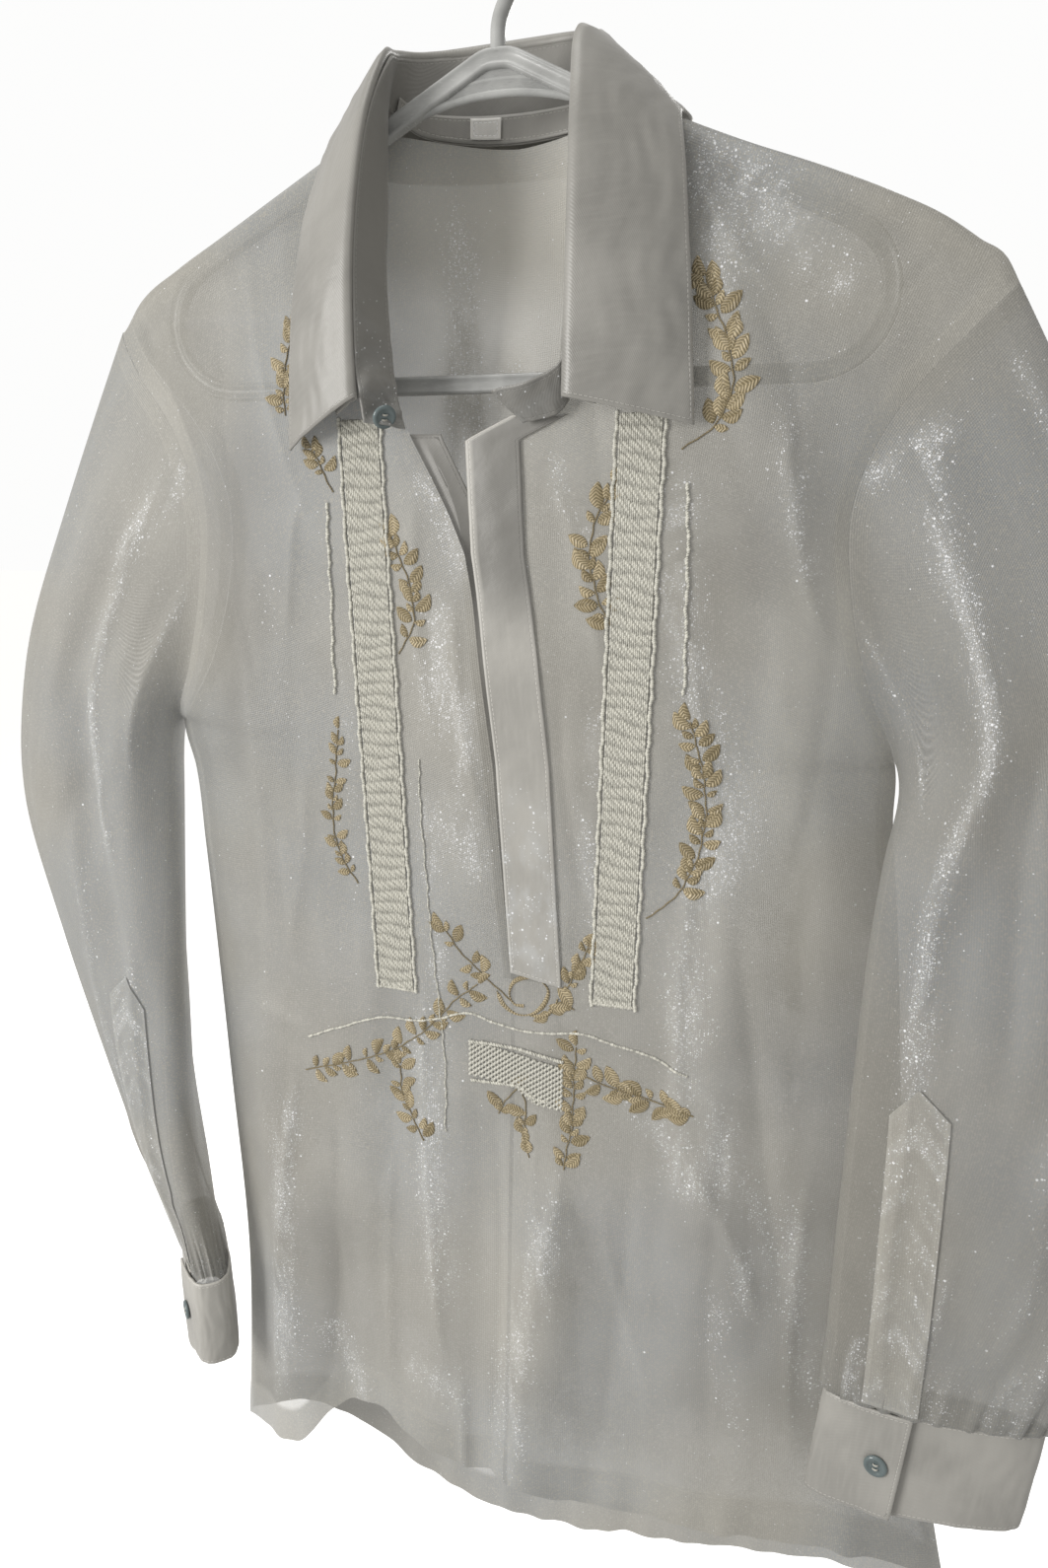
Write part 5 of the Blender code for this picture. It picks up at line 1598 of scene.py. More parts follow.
def placket_grid(side):
    """A placket's strip beside the slit: the over placket on the front, or the under placket behind it."""
    top = PLACKET_TOP_LEVEL + OVER_PLACKET_RISE * (side > 0)
    level = np.linspace(top, PLACKET_BOTTOM_LEVEL, PLACKET_ROWS)[:, None]
    across = np.linspace(0, 1, PLACKET_COLUMNS)[None, :]
    if side > 0:
        point = 10.0 * np.clip(1 - (level - PLACKET_BOTTOM_LEVEL) / 14.0, 0, 1) * (1 - across)
        lift = LAYER - 0.75 + 0.28 * ripples(level * 0.7, across * 27, 31.0) + 0.30 * np.sin(pi * across)
        x = slit_x(WEARERS_LEFT, level) + across * PLACKET_WIDTH
        return on_panel(FRONT, x, level + point * 0.5, lift)
    x = slit_x(WEARERS_RIGHT, level) - UNDERLAP_INSET + across * (UNDERLAP_INSET + UNDERLAP_REACH)
    return on_panel(FRONT, x, level, -LAYER - 0.5)


def sleeve_placket_grid(side):
    """The strip over a sleeve's slit, with a pointed top."""
    share = np.linspace(SLEEVE_PLACKET_TOP, 0.993, WRIST_PLACKET_ROWS)[:, None]
    across = np.linspace(-1, 1, PLACKET_COLUMNS)[None, :]
    point = SLEEVE_PLACKET_POINT * (1 - np.abs(across)) * np.clip(1 - (share - share[0]) / 0.05, 0, 1)
    share = share - point
    down = (share - SLEEVE_PLACKET_TOP) / (1 - SLEEVE_PLACKET_TOP)
    middle = SLEEVE_PLACKET_TOP_ANGLE + (SLEEVE_PLACKET_ANGLE - SLEEVE_PLACKET_TOP_ANGLE) * down
    one_way = sleeve_points(side, share, np.radians(middle - 1))
    other_way = sleeve_points(side, share, np.radians(middle + 1))
    per_degree = np.linalg.norm(other_way - one_way, axis=-1) / 2
    angle = np.radians(middle - across * SLEEVE_PLACKET_WIDTH / 2 / per_degree)
    return sleeve_points(side, share, angle, lift=1.2)


# ---------------------------------------------------------------- thread work

def panel_normals(x, level):
    """The front's outward direction at (x, level)."""
    return on_panel(FRONT, x, level, 1.0) - on_panel(FRONT, x, level, 0.0)


def ladder(top_x, top, bottom_x, bottom, width, pitch, radius, slant, threads=20):
    """A band of upright threads, pulled down in rows so that each rung between two rows stands out.

    Each thread is a wave: high just under a row and low on it. The rows run slightly aslant and uneven.
    """
    length = np.hypot(bottom_x - top_x, bottom - top)
    along = np.linspace(0, 1, int(length / 0.62))[None, :]
    place = (np.arange(threads) + 0.5)[:, None] / threads - 0.5
    gone = along * length + slant * place * width + 0.8 * np.sin(along * 31 + place * 5)
    gone = gone + 0.9 * np.sin(along * 11 + 1.7)
    gone = gone + 0.07 * pitch * np.sin(place * 133 + 2.0 * np.floor(gone / pitch))
    turn = (gone / pitch) % 1.0
    hump = np.clip(np.sin(pi * turn ** 0.72), 0, 1) ** 0.6
    ragged = 0.24 * np.sin(place * 91 + gone * 1.7) + 0.18 * np.sin(place * 57 - gone * 2.9)
    x = top_x + (bottom_x - top_x) * along + place * width + 0.12 * ragged
    x = x + 0.07 * np.sin(np.floor(gone / pitch) * 2.1 + place * 40)
    level = top + (bottom - top) * along + 0 * place
    lift = 0.42 + (0.50 + 0.8 * ragged) * hump
    paths = on_panel(FRONT, x, level, lift)
    thick = radius * (0.98 + 0.22 * hump + 0.30 * ragged)
    # the last value, how far it stands out, becomes the thread's painted highlight and shade
    return paths, panel_normals(x, level), thick, 0.30 + 0.60 * hump + 1.4 * ragged * hump


def woven_box(radius):
    """The small box under the slit: upright threads that each go over and under, every second one in turn."""
    number = np.arange(BOX_THREADS)[:, None]
    place = (number + 0.5) / BOX_THREADS
    top = np.interp(place, column(BOX_BAND, 0), column(BOX_BAND, 1)) - 1.0
    bottom = np.interp(place, column(BOX_BAND, 0), column(BOX_BAND, 2)) + 1.0
    level = top + (bottom - top) * np.linspace(0, 1, 70)[None, :]
    x = BOX_BAND_LEFT + (BOX_BAND_RIGHT - BOX_BAND_LEFT) * place + 0 * level
    turn = ((top - level + 0.10 * x) / BOX_PITCH + 0.5 * (number % 2)) % 1.0
    hump = np.clip(np.sin(pi * turn), 0, 1) ** 0.8
    x = x + 0.45 * np.sin(2 * pi * turn)
    paths = on_panel(FRONT, x, level, 0.7 + 0.35 * hump)
    return paths, panel_normals(x, level), radius * (1.25 + 0.25 * hump), 0.55 + 0.40 * hump


def plied_cord(x, level, radius, lift=0.9, pitch=3.4, lumps=0.35):
    """Two plies twisted round the line (x, level) on the front, with beads between the stitches."""
    gone = run_length(x, level)
    even = np.arange(0, gone[-1], 0.32)
    x, level = np.interp(even, gone, x), np.interp(even, gone, level)
    x = x + 0.32 * np.sin(even * 0.31) + 0.2 * np.sin(even * 0.83 + 2)
    turn = 2 * pi * even / pitch
    slow = np.sin(even * 0.93 + 1.3 * np.sin(even * 0.21))
    quick = np.sin(even * 2.7 + 2.0 * np.sin(even * 0.37))
    bead = 0.5 + 0.3 * slow + 0.3 * quick
    ahead_x, ahead_level = np.gradient(x), np.gradient(level)
    size = np.hypot(ahead_x, ahead_level)
    plies, facing, thick = [], [], []
    for phase in (0.0, pi):
        aside = 0.85 * radius * np.cos(turn + phase)
        px = x - ahead_level / size * aside
        pl = level + ahead_x / size * aside
        plies.append(on_panel(FRONT, px, pl, lift + 0.85 * radius * np.sin(turn + phase)))
        facing.append(panel_normals(px, pl))
        thick.append(radius * (1 + lumps * (bead - 0.4)))
    stand = np.stack([0.55 + 0.35 * np.sin(turn), 0.55 + 0.35 * np.sin(turn + pi)]) + 0.45 * bead
    return np.stack(plies), np.stack(facing), np.stack(thick), stand


def thread_mesh(name, bundles, sides):
    """One mesh from bundles of strands, each with how far it stands out as a field."""
    parts = []
    for paths, normals, radius, stand in bundles:
        rings, quads, uv = strands(paths, normals, radius, sides)
        parts.append((rings.reshape(-1, 3), quads, np.repeat(ended(stand).ravel(), sides), uv.reshape(-1, 2)))
    points, faces, stands, uvs = pooled(parts)
    mesh = build_mesh(name, points, faces, {"stand": stands}, uvs)
    closed_outward(mesh)
    return mesh


CORDS = (  # couched cords, as points in the camera's frame
    ((332, 510), (334, 560), (337, 610), (338, 660), (341, 704)),
    ((697, 490), (698, 540), (697, 600), (696, 655), (694, 706)),
    ((425, 770), (427, 820), (432, 880), (438, 950), (445, 1010), (452, 1080), (452, 1148)),
    ((613, 768), (615, 820), (614, 882)),
    ((314, 1050), (350, 1040), (388, 1031), (420, 1034), (446, 1032), (474, 1027), (500, 1036), (530, 1045),
     (562, 1048), (590, 1048), (622, 1059), (660, 1071), (698, 1091)),
)

CORD_SIZES = (0.80, 0.80, 0.42, 0.48, 0.66)  # of the full cord radius, one for each line

BOX_CORDS = (
    ((476, 1055), (500, 1058), (530, 1064), (552, 1071), (572, 1077)),
    ((478, 1094), (500, 1097), (528, 1102), (541, 1112), (558, 1118)),
)

SPRIGS = (  # each a stem with leaves in pairs along it, in the camera's frame
    # stem points, first and last leaf as shares of it, pairs, size, spread in degrees, sway of the tones
    (((716, 282), (729, 318), (741, 356), (742, 398), (722, 434), (690, 456)), 0.02, 0.8, 13, 1.05, 44, 0.2),
    (((298, 332), (292, 360), (288, 392), (290, 422)), 0.05, 0.95, 9, 0.85, 50, 0.7),
    (((316, 456), (326, 474), (338, 500)), 0.1, 0.7, 4, 0.8, 55, 0.4),
    (((394, 540), (406, 566), (418, 600), (420, 634), (404, 664)), 0.06, 0.86, 9, 0.95, 48, 0.5),
    (((622, 494), (606, 524), (598, 560), (604, 598), (622, 642)), 0.1, 0.96, 9, 1.05, 46, 0.3),
    (((343, 740), (341, 780), (338, 826), (346, 866), (364, 896)), 0.1, 0.98, 12, 0.72, 52, 0.8),
    (((700, 732), (712, 776), (716, 826), (704, 878), (682, 912), (654, 932)), 0.04, 0.78, 16, 0.95, 50, 0.1),
    (((450, 940), (468, 966), (492, 990), (520, 1016)), 0.06, 0.62, 4, 0.95, 50, 0.6),
    (((597, 960), (586, 982), (574, 1004)), 0.02, 0.9, 6, 0.8, 34, 0.2),
    (((484, 998), (462, 1014), (436, 1040), (404, 1062), (366, 1074), (310, 1084)),
     0.06, 0.99, 16, 0.95, 52, 0.9),
    (((406, 1080), (408, 1104), (418, 1130), (432, 1156)), 0.05, 0.96, 7, 0.95, 48, 0.3),
    (((586, 1088), (618, 1102), (656, 1114), (704, 1132)), 0.22, 1, 9, 1.1, 40, 0.7),
    (((584, 1062), (582, 1100), (580, 1140), (571, 1186)), 0.04, 0.98, 12, 0.95, 46, 0.5),
    (((524, 1104), (514, 1114), (506, 1130)), 0.5, 0.98, 3, 1.05, 62, 0.8),
    (((528, 1104), (534, 1124), (532, 1146), (538, 1174)), 0.42, 0.96, 4, 0.8, 24, 0.5),
    (((556, 1024), (568, 1016), (584, 1024)), 0.6, 0.98, 3, 1.05, 50, 0.2),
)

SWIRLS = (  # narrow satin-stitched ribbons, as points in the camera's frame
    ((504, 1004), (512, 1020), (524, 1028), (540, 1028), (552, 1018), (556, 1004), (548, 994), (534, 991),
     (521, 996), (517, 1008), (522, 1018), (532, 1020)),
    ((538, 1030), (552, 1030), (562, 1022), (566, 1012)),
)
SWIRL_WIDTH = 2.6


def spread(points, step):
    """An even line, every step millimetres, on a smooth curve through points of the camera's frame."""
    u, v = np.array(points, float).T
    gone = run_length(u, v)
    fine = np.linspace(0, gone[-1], 40 * len(points))
    x, level = framed(through(gone, u, fine), through(gone, v, fine))
    gone = run_length(x, level)
    even = np.arange(0, gone[-1], step)
    return np.interp(even, gone, x), np.interp(even, gone, level)


def sprig_leaves(length):
    """Every leaf's root, direction, size and tone, for all the sprigs: pairs of leaves lean off each stem."""
    rows = []
    for number, (stem, first, last, pairs, size, spread_angle, sway) in enumerate(SPRIGS):
        x, level = spread(stem, 0.5)
        pairs = round(1.3 * pairs)
        for pair in range(pairs):
            share = first + (last - first) * pair / max(pairs - 1, 1)
            at = min(int(share * (len(x) - 1)), len(x) - 3)
            heading = np.arctan2(level[at + 2] - level[at], x[at + 2] - x[at])
            for hand in (-1, 1):
                odd = sin(number * 12.9 + pair * 7.3 + hand * 3.1)
                if odd > 0.90:
                    continue
                lean = radians(spread_angle + 24 * odd)
                scale = size * length * (0.84 + 0.30 * sin(pair * 2.4 + number + 1.7 * hand))
                tone = 0.5 + 0.42 * sin(pair * 2.9 + hand * 1.4 + sway * 6)
                rows.append((x[at], level[at], heading + pi + hand * lean, scale, tone, hand))
        heading = np.arctan2(level[0] - level[3], x[0] - x[3])
        rows.append((x[0], level[0], heading, size * length * 0.9, 0.55, 1))
    return np.array(rows)


def leaf_shapes(leaves):
    """Leaves as little domes of laid threads: a teardrop outline, a creased middle, and edges sewn down."""
    along = np.linspace(0, 1, 11)[None, :, None]
    across = np.linspace(-1, 1, 9)[None, None, :]
    x, level, heading, size, tone, hand = (leaves[:, n][:, None, None] for n in range(6))
    half = 0.28 * size * np.clip(np.sin(pi * along ** 0.86), 0, 1) ** 0.75
    bow = (0.08 + 0.10 * np.sin(37 * tone)) * size * np.sin(pi * along) * hand
    forward = size * (0.10 + along)
    aside = half * across + bow
    px = x + forward * np.cos(heading) - aside * np.sin(heading)
    pl = level + forward * np.sin(heading) + aside * np.cos(heading)
    dome = (1 - across**2) ** 0.6 * np.sin(pi * np.clip(along, 0.06, 0.94)) ** 0.5
    crease = 1 - 0.45 * np.exp(-((across / 0.16) ** 2))
    points = on_panel(FRONT, px, pl, 0.30 + 0.15 * np.sin(53 * tone) + 0.75 * dome * crease)
    # each leaf's own tone, with one half paler than the other as painted sheen of threads laid the other way
    shade = np.clip(tone + 0.24 * np.sign(across) * hand + 0 * along, 0, 1)
    uv = np.stack(np.broadcast_arrays(half * across / 1000, forward / 1000), axis=-1)
    one = grid_faces(11, 9)
    faces = (one[None] + (np.arange(len(leaves)) * 99)[:, None, None]).reshape(-1, 4)
    return points.reshape(-1, 3), faces, shade.ravel(), uv.reshape(-1, 2)


def ribbon_shape(points, width):
    """A narrow raised ribbon of laid threads along a line on the front."""
    x, level = spread(points, 0.6)
    ahead_x, ahead_level = np.gradient(x), np.gradient(level)
    size = np.hypot(ahead_x, ahead_level)
    across = np.linspace(-1, 1, 7)[None, :]
    gone = np.arange(len(x))[:, None] * 0.6
    half = width / 2 * (0.65 + 0.35 * np.sin(gone * 0.23)) * np.clip(gone / 3, 0.15, 1)
    px = x[:, None] - (ahead_level / size)[:, None] * half * across
    pl = level[:, None] + (ahead_x / size)[:, None] * half * across
    grid = on_panel(FRONT, px, pl, 0.30 + 0.7 * (1 - across**2) ** 0.6)
    # one edge paler than the other as painted sheen, and a slow change of tone along it
    tone = np.clip(0.62 + 0.25 * across + 0.15 * np.sin(gone * 0.5), 0, 1)
    uv = np.stack(np.broadcast_arrays(half * across / 1000, gone / 1000), axis=-1)
    return grid.reshape(-1, 3), grid_faces(*grid.shape[:2]), tone.ravel(), uv.reshape(-1, 2)


# ---------------------------------------------------------------- small hard pieces

def lathe(profile, sides, centre, axis):
    """A closed turned shape: the profile's (radius, height) points carried round the unit axis."""
    profile = np.asarray(profile, float)
    across = unit(np.cross(axis, (0.0, 0.0, 1.0)))
    third = np.cross(axis, across)
    angle = np.linspace(0, 2 * pi, sides, endpoint=False)[None, :, None]
    ring = np.cos(angle) * across + np.sin(angle) * third
    return centre + profile[:, 0][:, None, None] * ring + profile[:, 1][:, None, None] * axis, across, third


BUTTON_PROFILE = (  # radius and height, from the middle of the face over the rim to the middle of the back
    (0, 1.75), (0.8, 1.72), (1.9, 1.66), (2.9, 1.7), (3.5, 1.92), (4, 2.26), (4.5, 2.4), (5, 2.34),
    (5.4, 2.1), (5.7, 1.75), (5.8, 1.3), (5.7, 0.85), (5.4, 0.5), (4.8, 0.26), (3.6, 0.12), (2, 0.06),
    (0, 0.05),
)
HOLE_PROFILE = ((0, -0.55), (0.45, -0.5), (0.62, -0.2), (0.66, 0), (0.74, 0.05), (0.7, -0.6), (0, -0.62))
HOLE_REACH = 1.25
HOLE_LEVEL = 1.74  # in the dished face


def button_meshes(name, centre, normal):
    """A four-hole button with its face dished inside a round rim, and the thread that crosses its holes."""
    normal = unit(normal)
    body, across, third = lathe(BUTTON_PROFILE, 56, centre, normal)
    body_mesh = build_mesh(name, body, grid_faces(*body.shape[:2], wrapped=True))
    seats = (HOLE_REACH * (a * across + b * third) + HOLE_LEVEL * normal for a in (-1, 1) for b in (-1, 1))
    holes = np.array([lathe(HOLE_PROFILE, 14, centre + seat, normal)[0] for seat in seats])
    one = grid_faces(*holes.shape[1:3], wrapped=True)
    hole_faces = np.concatenate([one + number * holes[0].size // 3 for number in range(4)])
    hole_mesh = build_mesh(name + "_holes", holes, hole_faces)
    run = np.linspace(-1, 1, 15)[:, None]
    rise = 1.45 + 0.95 * (1 - run**2) ** 0.5
    threads = np.array([
        centre + run * HOLE_REACH * across + (b * HOLE_REACH + offset) * third + rise * normal
        for b in (-1, 1) for offset in (-0.22, 0.22)
    ])
    thread = thread_mesh(name + "_thread", [(threads, normal, 0.24, np.full(threads.shape[:2], 0.75))], 6)
    for mesh in (body_mesh, hole_mesh):
        closed_outward(mesh)
    return body_mesh, hole_mesh, thread


def joined(meshes, name):
    """One mesh from several, keeping their materials' order."""
    shape = bmesh.new()
    made = bpy.data.meshes.new(name)
    for index, mesh in enumerate(meshes):
        before = len(shape.faces)
        shape.from_mesh(mesh)
        shape.faces.ensure_lookup_table()
        for face in shape.faces[before:]:
            face.material_index = index
    shape.to_mesh(made)
    shape.free()
    return made


def carried(path, normal, profile, closed=False):
    """A profile's (aside, out) points carried along a path: out along the normal, aside across the path."""
    path = np.asarray(path, float)
    if closed:
        ahead = np.roll(path, -1, axis=0) - np.roll(path, 1, axis=0)
    else:
        ahead = np.gradient(path, axis=0)
    beside = unit(np.cross(unit(ahead), normal))
    return path[:, None] + profile[:, 0:1] * beside[:, None] + profile[:, 1:2] * np.asarray(normal, float)


def evenly(points, step, closed=False):
    """Points at even steps along a line of (x, level) corners."""
    points = np.asarray(points, float)
    if closed:
        points = np.concatenate([points, points[:1]])
    gone = np.concatenate([[0], np.cumsum(np.linalg.norm(np.diff(points, axis=0), axis=1))])
    count = int(gone[-1] / step)
    even = np.linspace(0, gone[-1], count, endpoint=not closed)
    return np.stack([np.interp(even, gone, points[:, n]) for n in range(points.shape[1])], axis=-1)


def smoothed(points, times, closed):
    """Rounds a line's corners: each point moves to the mean of itself and its neighbours, some times over."""
    for _ in range(times):
        if closed:
            points = (points + np.roll(points, 1, axis=0) + np.roll(points, -1, axis=0)) / 3
        else:
            middles = (points[:-2] + points[1:-1] + points[2:]) / 3
            points = np.concatenate([points[:1], middles, points[-1:]])
    return points


def beam_profile(width, thick, groove):
    """Half round edges with a shallow groove down both faces: (across, out) points round the section."""
    angle = np.linspace(0, 2 * pi, 40, endpoint=False)
    across = squared(np.cos(angle), BEAM_ROUNDNESS) * width / 2
    out = squared(np.sin(angle), BEAM_ROUNDNESS) * thick / 2
    dip = groove * np.exp(-((across / (0.26 * width)) ** 4))
    out = out - np.sign(out) * np.minimum(dip, np.abs(out) * 0.8)
    return np.stack([across, out], axis=-1)


def hanger_meshes():
    """The hanger: a grooved frame, a web under the apex with a rib along its edge, and the hook."""
    middle = np.array(hanger_outline(ARM_WIDTH / 2))
    line = smoothed(evenly(middle, 1.6, closed=True), 3, True)
    path = np.stack([line[:, 0], 0 * line[:, 0], line[:, 1]], axis=-1)
    outward_way = np.array([0.0, -1.0, 0.0])
    frame_grid = carried(path, outward_way, beam_profile(ARM_WIDTH, ARM_THICKNESS, BEAM_GROOVE), closed=True)
    faces = grid_faces(*frame_grid.shape[:2], wrapped=True)
    rows, columns = frame_grid.shape[:2]
    last = np.arange(columns)
    close = np.stack([(rows - 1) * columns + last, (rows - 1) * columns + np.roll(last, -1),
                      np.roll(last, -1), last], axis=-1)
    body = build_mesh("hanger_beam", frame_grid, np.concatenate([faces, close]))
    closed_outward(body)
    t = np.linspace(-1, 1, 91)
    drop = WEB_CENTRE_LEVEL - WEB_END_LEVEL
    lower = np.stack([t * WEB_REACH, WEB_CENTRE_LEVEL - drop * t * t], axis=-1)
    upper = np.stack([t * WEB_REACH, APEX_LEVEL - ARM_WIDTH / 2 - ARM_SLOPE * np.abs(t) * WEB_REACH], axis=-1)
    upper[:, 1] = np.minimum(upper[:, 1], APEX_LEVEL - 7.5)
    share = np.linspace(0, 1, 9)[:, None, None]
    face = lower * (1 - share) + upper * share
    sheet_front = np.stack([face[..., 0], -WEB_THICKNESS / 2 + 0 * face[..., 0], face[..., 1]], axis=-1)
    sheet_back = sheet_front[::-1] * np.array([1, -1, 1])
    web = np.concatenate([sheet_front, sheet_back])
    web_rows, web_columns = web.shape[:2]
    faces = grid_faces(web_columns, web_rows, wrapped=True)
    plate = build_mesh("hanger_plate", np.swapaxes(web, 0, 1), faces)
    closed_outward(plate)
    tubes = []
    normal = outward_way
    for inset, radius in WEB_RIBS:
        rib = np.stack([lower[:, 0] * (1 - inset / 90), 0 * t, lower[:, 1] + inset], axis=-1)
        tubes.append((rib[None], normal, radius, np.ones((1, len(t)))))
    hook = smoothed(evenly(hook_path(), 1.2), 2, False)
    hook = np.stack([hook[:, 0], 0 * hook[:, 0], hook[:, 1]], axis=-1)
    grown = HOOK_ROD / 2 * np.clip(np.linspace(0, len(hook) * 0.34, len(hook)), 0.55, 1.0)[None]
    tubes.append((hook[None], normal, grown, np.ones((1, len(hook)))))
    rods = thread_mesh("hanger_rods", tubes, 20)
    return body, plate, rods


# ---------------------------------------------------------------- operators

LAMPS = (
    # name, place in metres, size in metres, power in watts
    ("key", (-1.25, -1.35, -0.10), 0.8, 27.0),
    ("top", (-0.2, -0.3, 1.2), 0.9, 7.0),
    ("behind", (0.5, 1.9, 0.15), 1.3, 22.0),
)
LAMP_AIM = (0, 0, -0.45)
LAMP_COLOUR = (1.0, 0.985, 0.96)
SKY_COLOUR = (1.0, 0.985, 0.955, 1)
SKY_STRENGTH = 0.56
FLOOR_GLOW = 0.47
FLOOR_LEVEL = -1040.0
FLOOR_REACH = 14000.0


class BARONG_OT_stage(bpy.types.Operator):
    """Lays the pale floor and sets the soft lights, the sky and the camera"""

    bl_idname = "barong.stage"
    bl_label = "Stage"

    def execute(self, context):
        scene = context.scene
        corners = [(a * FLOOR_REACH, b * FLOOR_REACH, FLOOR_LEVEL) for b in (-1, 1) for a in (-1, 1)]
        floor = bpy.data.objects.new("floor", build_mesh("floor", np.array(corners), [[0, 1, 3, 2]]))
        floor.data.materials.append(floor_paint("pale_floor", colours().floor, FLOOR_GLOW))
        scene.collection.objects.link(floor)
        floor.visible_diffuse = floor.visible_glossy = False
        floor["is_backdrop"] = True
        self.sky(scene)
        for row in LAMPS:
            self.light(*row)
        camera = bpy.data.objects.new("camera", bpy.data.cameras.new("camera"))
        scene.collection.objects.link(camera)
        camera.data.sensor_width = CAMERA_SENSOR
        camera.data.lens = CAMERA_LENS
        camera.data.clip_start = 0.02
        camera.location = to_world(np.array([CAMERA_PLACE]))[0]
        camera.rotation_euler = (radians(CAMERA_TILT), 0, radians(CAMERA_TURN))
        scene.camera = camera
        scene.view_settings.view_transform = "Standard"
        return {"FINISHED"}

    def sky(self, scene):
        """An even pale sky that lights from all round, and is a little paler where the camera sees it."""
        world = bpy.data.worlds.new("pale_sky")
        world.use_nodes = True
        scene.world = world
        tree = world.node_tree
        lit = tree.nodes["Background"]
        lit.inputs["Color"].default_value = SKY_COLOUR
        lit.inputs["Strength"].default_value = SKY_STRENGTH
        seen = tree.nodes.new("ShaderNodeBackground")
        seen.inputs["Color"].default_value = (*colours().floor, 1)
        seen.inputs["Strength"].default_value = 1.0
        path = tree.nodes.new("ShaderNodeLightPath")
        mix = tree.nodes.new("ShaderNodeMixShader")
        tree.links.new(path.outputs["Is Camera Ray"], mix.inputs[0])
        tree.links.new(lit.outputs[0], mix.inputs[1])
        tree.links.new(seen.outputs[0], mix.inputs[2])
        tree.links.new(mix.outputs[0], tree.nodes["World Output"].inputs[0])

    def light(self, name, place, size, power):
        """Hangs a square soft lamp that looks at the shirt."""
        lamp = bpy.data.lights.new(name, "AREA")
        lamp.size = size
        lamp.energy = power
        lamp.color = LAMP_COLOUR
        holder = bpy.data.objects.new(name, lamp)
        bpy.context.scene.collection.objects.link(holder)
        holder.location = place
        holder.rotation_euler = (Vector(LAMP_AIM) - Vector(place)).to_track_quat("-Z", "Y").to_euler()
        holder.visible_camera = False


class BARONG_OT_hanger(bpy.types.Operator):
    """Moulds the hanger with its grooved arms, web and hook"""

    bl_idname = "barong.hanger"
    bl_label = "Hanger"

    def execute(self, context):
        body, plate, rods = hanger_meshes()
        solid = moulded_plastic("milky_plastic", colours().hanger, 0.22)
        thin = moulded_plastic("thin_milky_plastic", colours().hanger, 0.26, cloudy=0.30)
        made = joined([body, plate, rods], "dressed_hanger")  # its slots: the beam, the thin web, the rods
        add_piece("dressed_hanger", made, solid, "clear_white_plastic", ("hanger",))
        made.materials.append(thin)
        made.materials.append(solid)
        return {"FINISHED"}


class BARONG_OT_panels(bpy.types.Operator):
    """Cuts the front and the back in sheer organza, with their creases, hems and seams"""

    bl_idname = "barong.panels"
    bl_label = "Front and back"

    def execute(self, context):
        hem = sizes().hem_width / MM
        front = add_piece("front_cloth", panel_mesh("front_cloth", FRONT, hem),
                          organza("front"), "sheer_organza", ("front_panel",))
        back = add_piece("back_cloth", panel_mesh("back_cloth", BACK, hem),
                         organza("back"), "sheer_organza", ("back_panel",))
        return {"FINISHED"}


class BARONG_OT_sleeves(bpy.types.Operator):
    """Cuts both sleeves in sheer organza, with their long folds"""

    bl_idname = "barong.sleeves"
    bl_label = "Sleeves"

    def execute(self, context):
        cloths = {side: organza(f"{word}_sleeve") for side, word in SIDES}
        for side, word in SIDES:
            name = f"sleeve_cloth_{word}"
            mesh = sleeve_mesh(name, side)
            piece = add_piece(name, mesh, cloths[side], "sheer_organza", (f"sleeve_{word}",))
        return {"FINISHED"}


class BARONG_OT_cuffs(bpy.types.Operator):
    """Makes the satin cuffs and the plackets over them"""

    bl_idname = "barong.cuffs"
    bl_label = "Cuffs"

    def execute(self, context):
        cloth = organza("placket")
        smooth = {side: satin(f"cuff_satin_{word}", SATIN_TONES[f"{word}_cuff"]) for side, word in SIDES}
        for side, word in SIDES:
            grid = cuff_grid(side)
            fields, down, across = strip_fields(grid)
            mesh = strip_mesh(f"satin_cuff_{word}", grid, fields, down, across)
            outward_from_axis(mesh, grid)
            cuff = add_piece(f"satin_cuff_{word}", mesh, smooth[side], "satin_facing", (f"cuff_{word}",))
            walled(cuff, SATIN_WALLS["cuff"])
            strip = sleeve_placket_grid(side)
            fields, down, across = strip_fields(strip)
            # painted sheen on the sleeve's placket
            fields = {
                "from_hem": NO_HEM + 0 * down, "from_seam": fields["from_edge"] + 6.2, "along": down,
                "painted_sheen": np.clip(0.35 + 0.4 * ripples(down, across, 24.0), 0, 1),
                "double": np.full(down.shape, 0.35) + 0.35 * (fields["from_edge"] < 2.4), "dense": 0 * down,
                "shade": 0 * down,
            }
            name = f"wrist_placket_{word}"
            mesh = strip_mesh(name, strip, fields, down, across)
            outward(mesh, (side * 0.2, -1, 0))
            piece = add_piece(name, mesh, cloth, "sheer_organza", (f"sleeve_placket_{word}",))
        return {"FINISHED"}


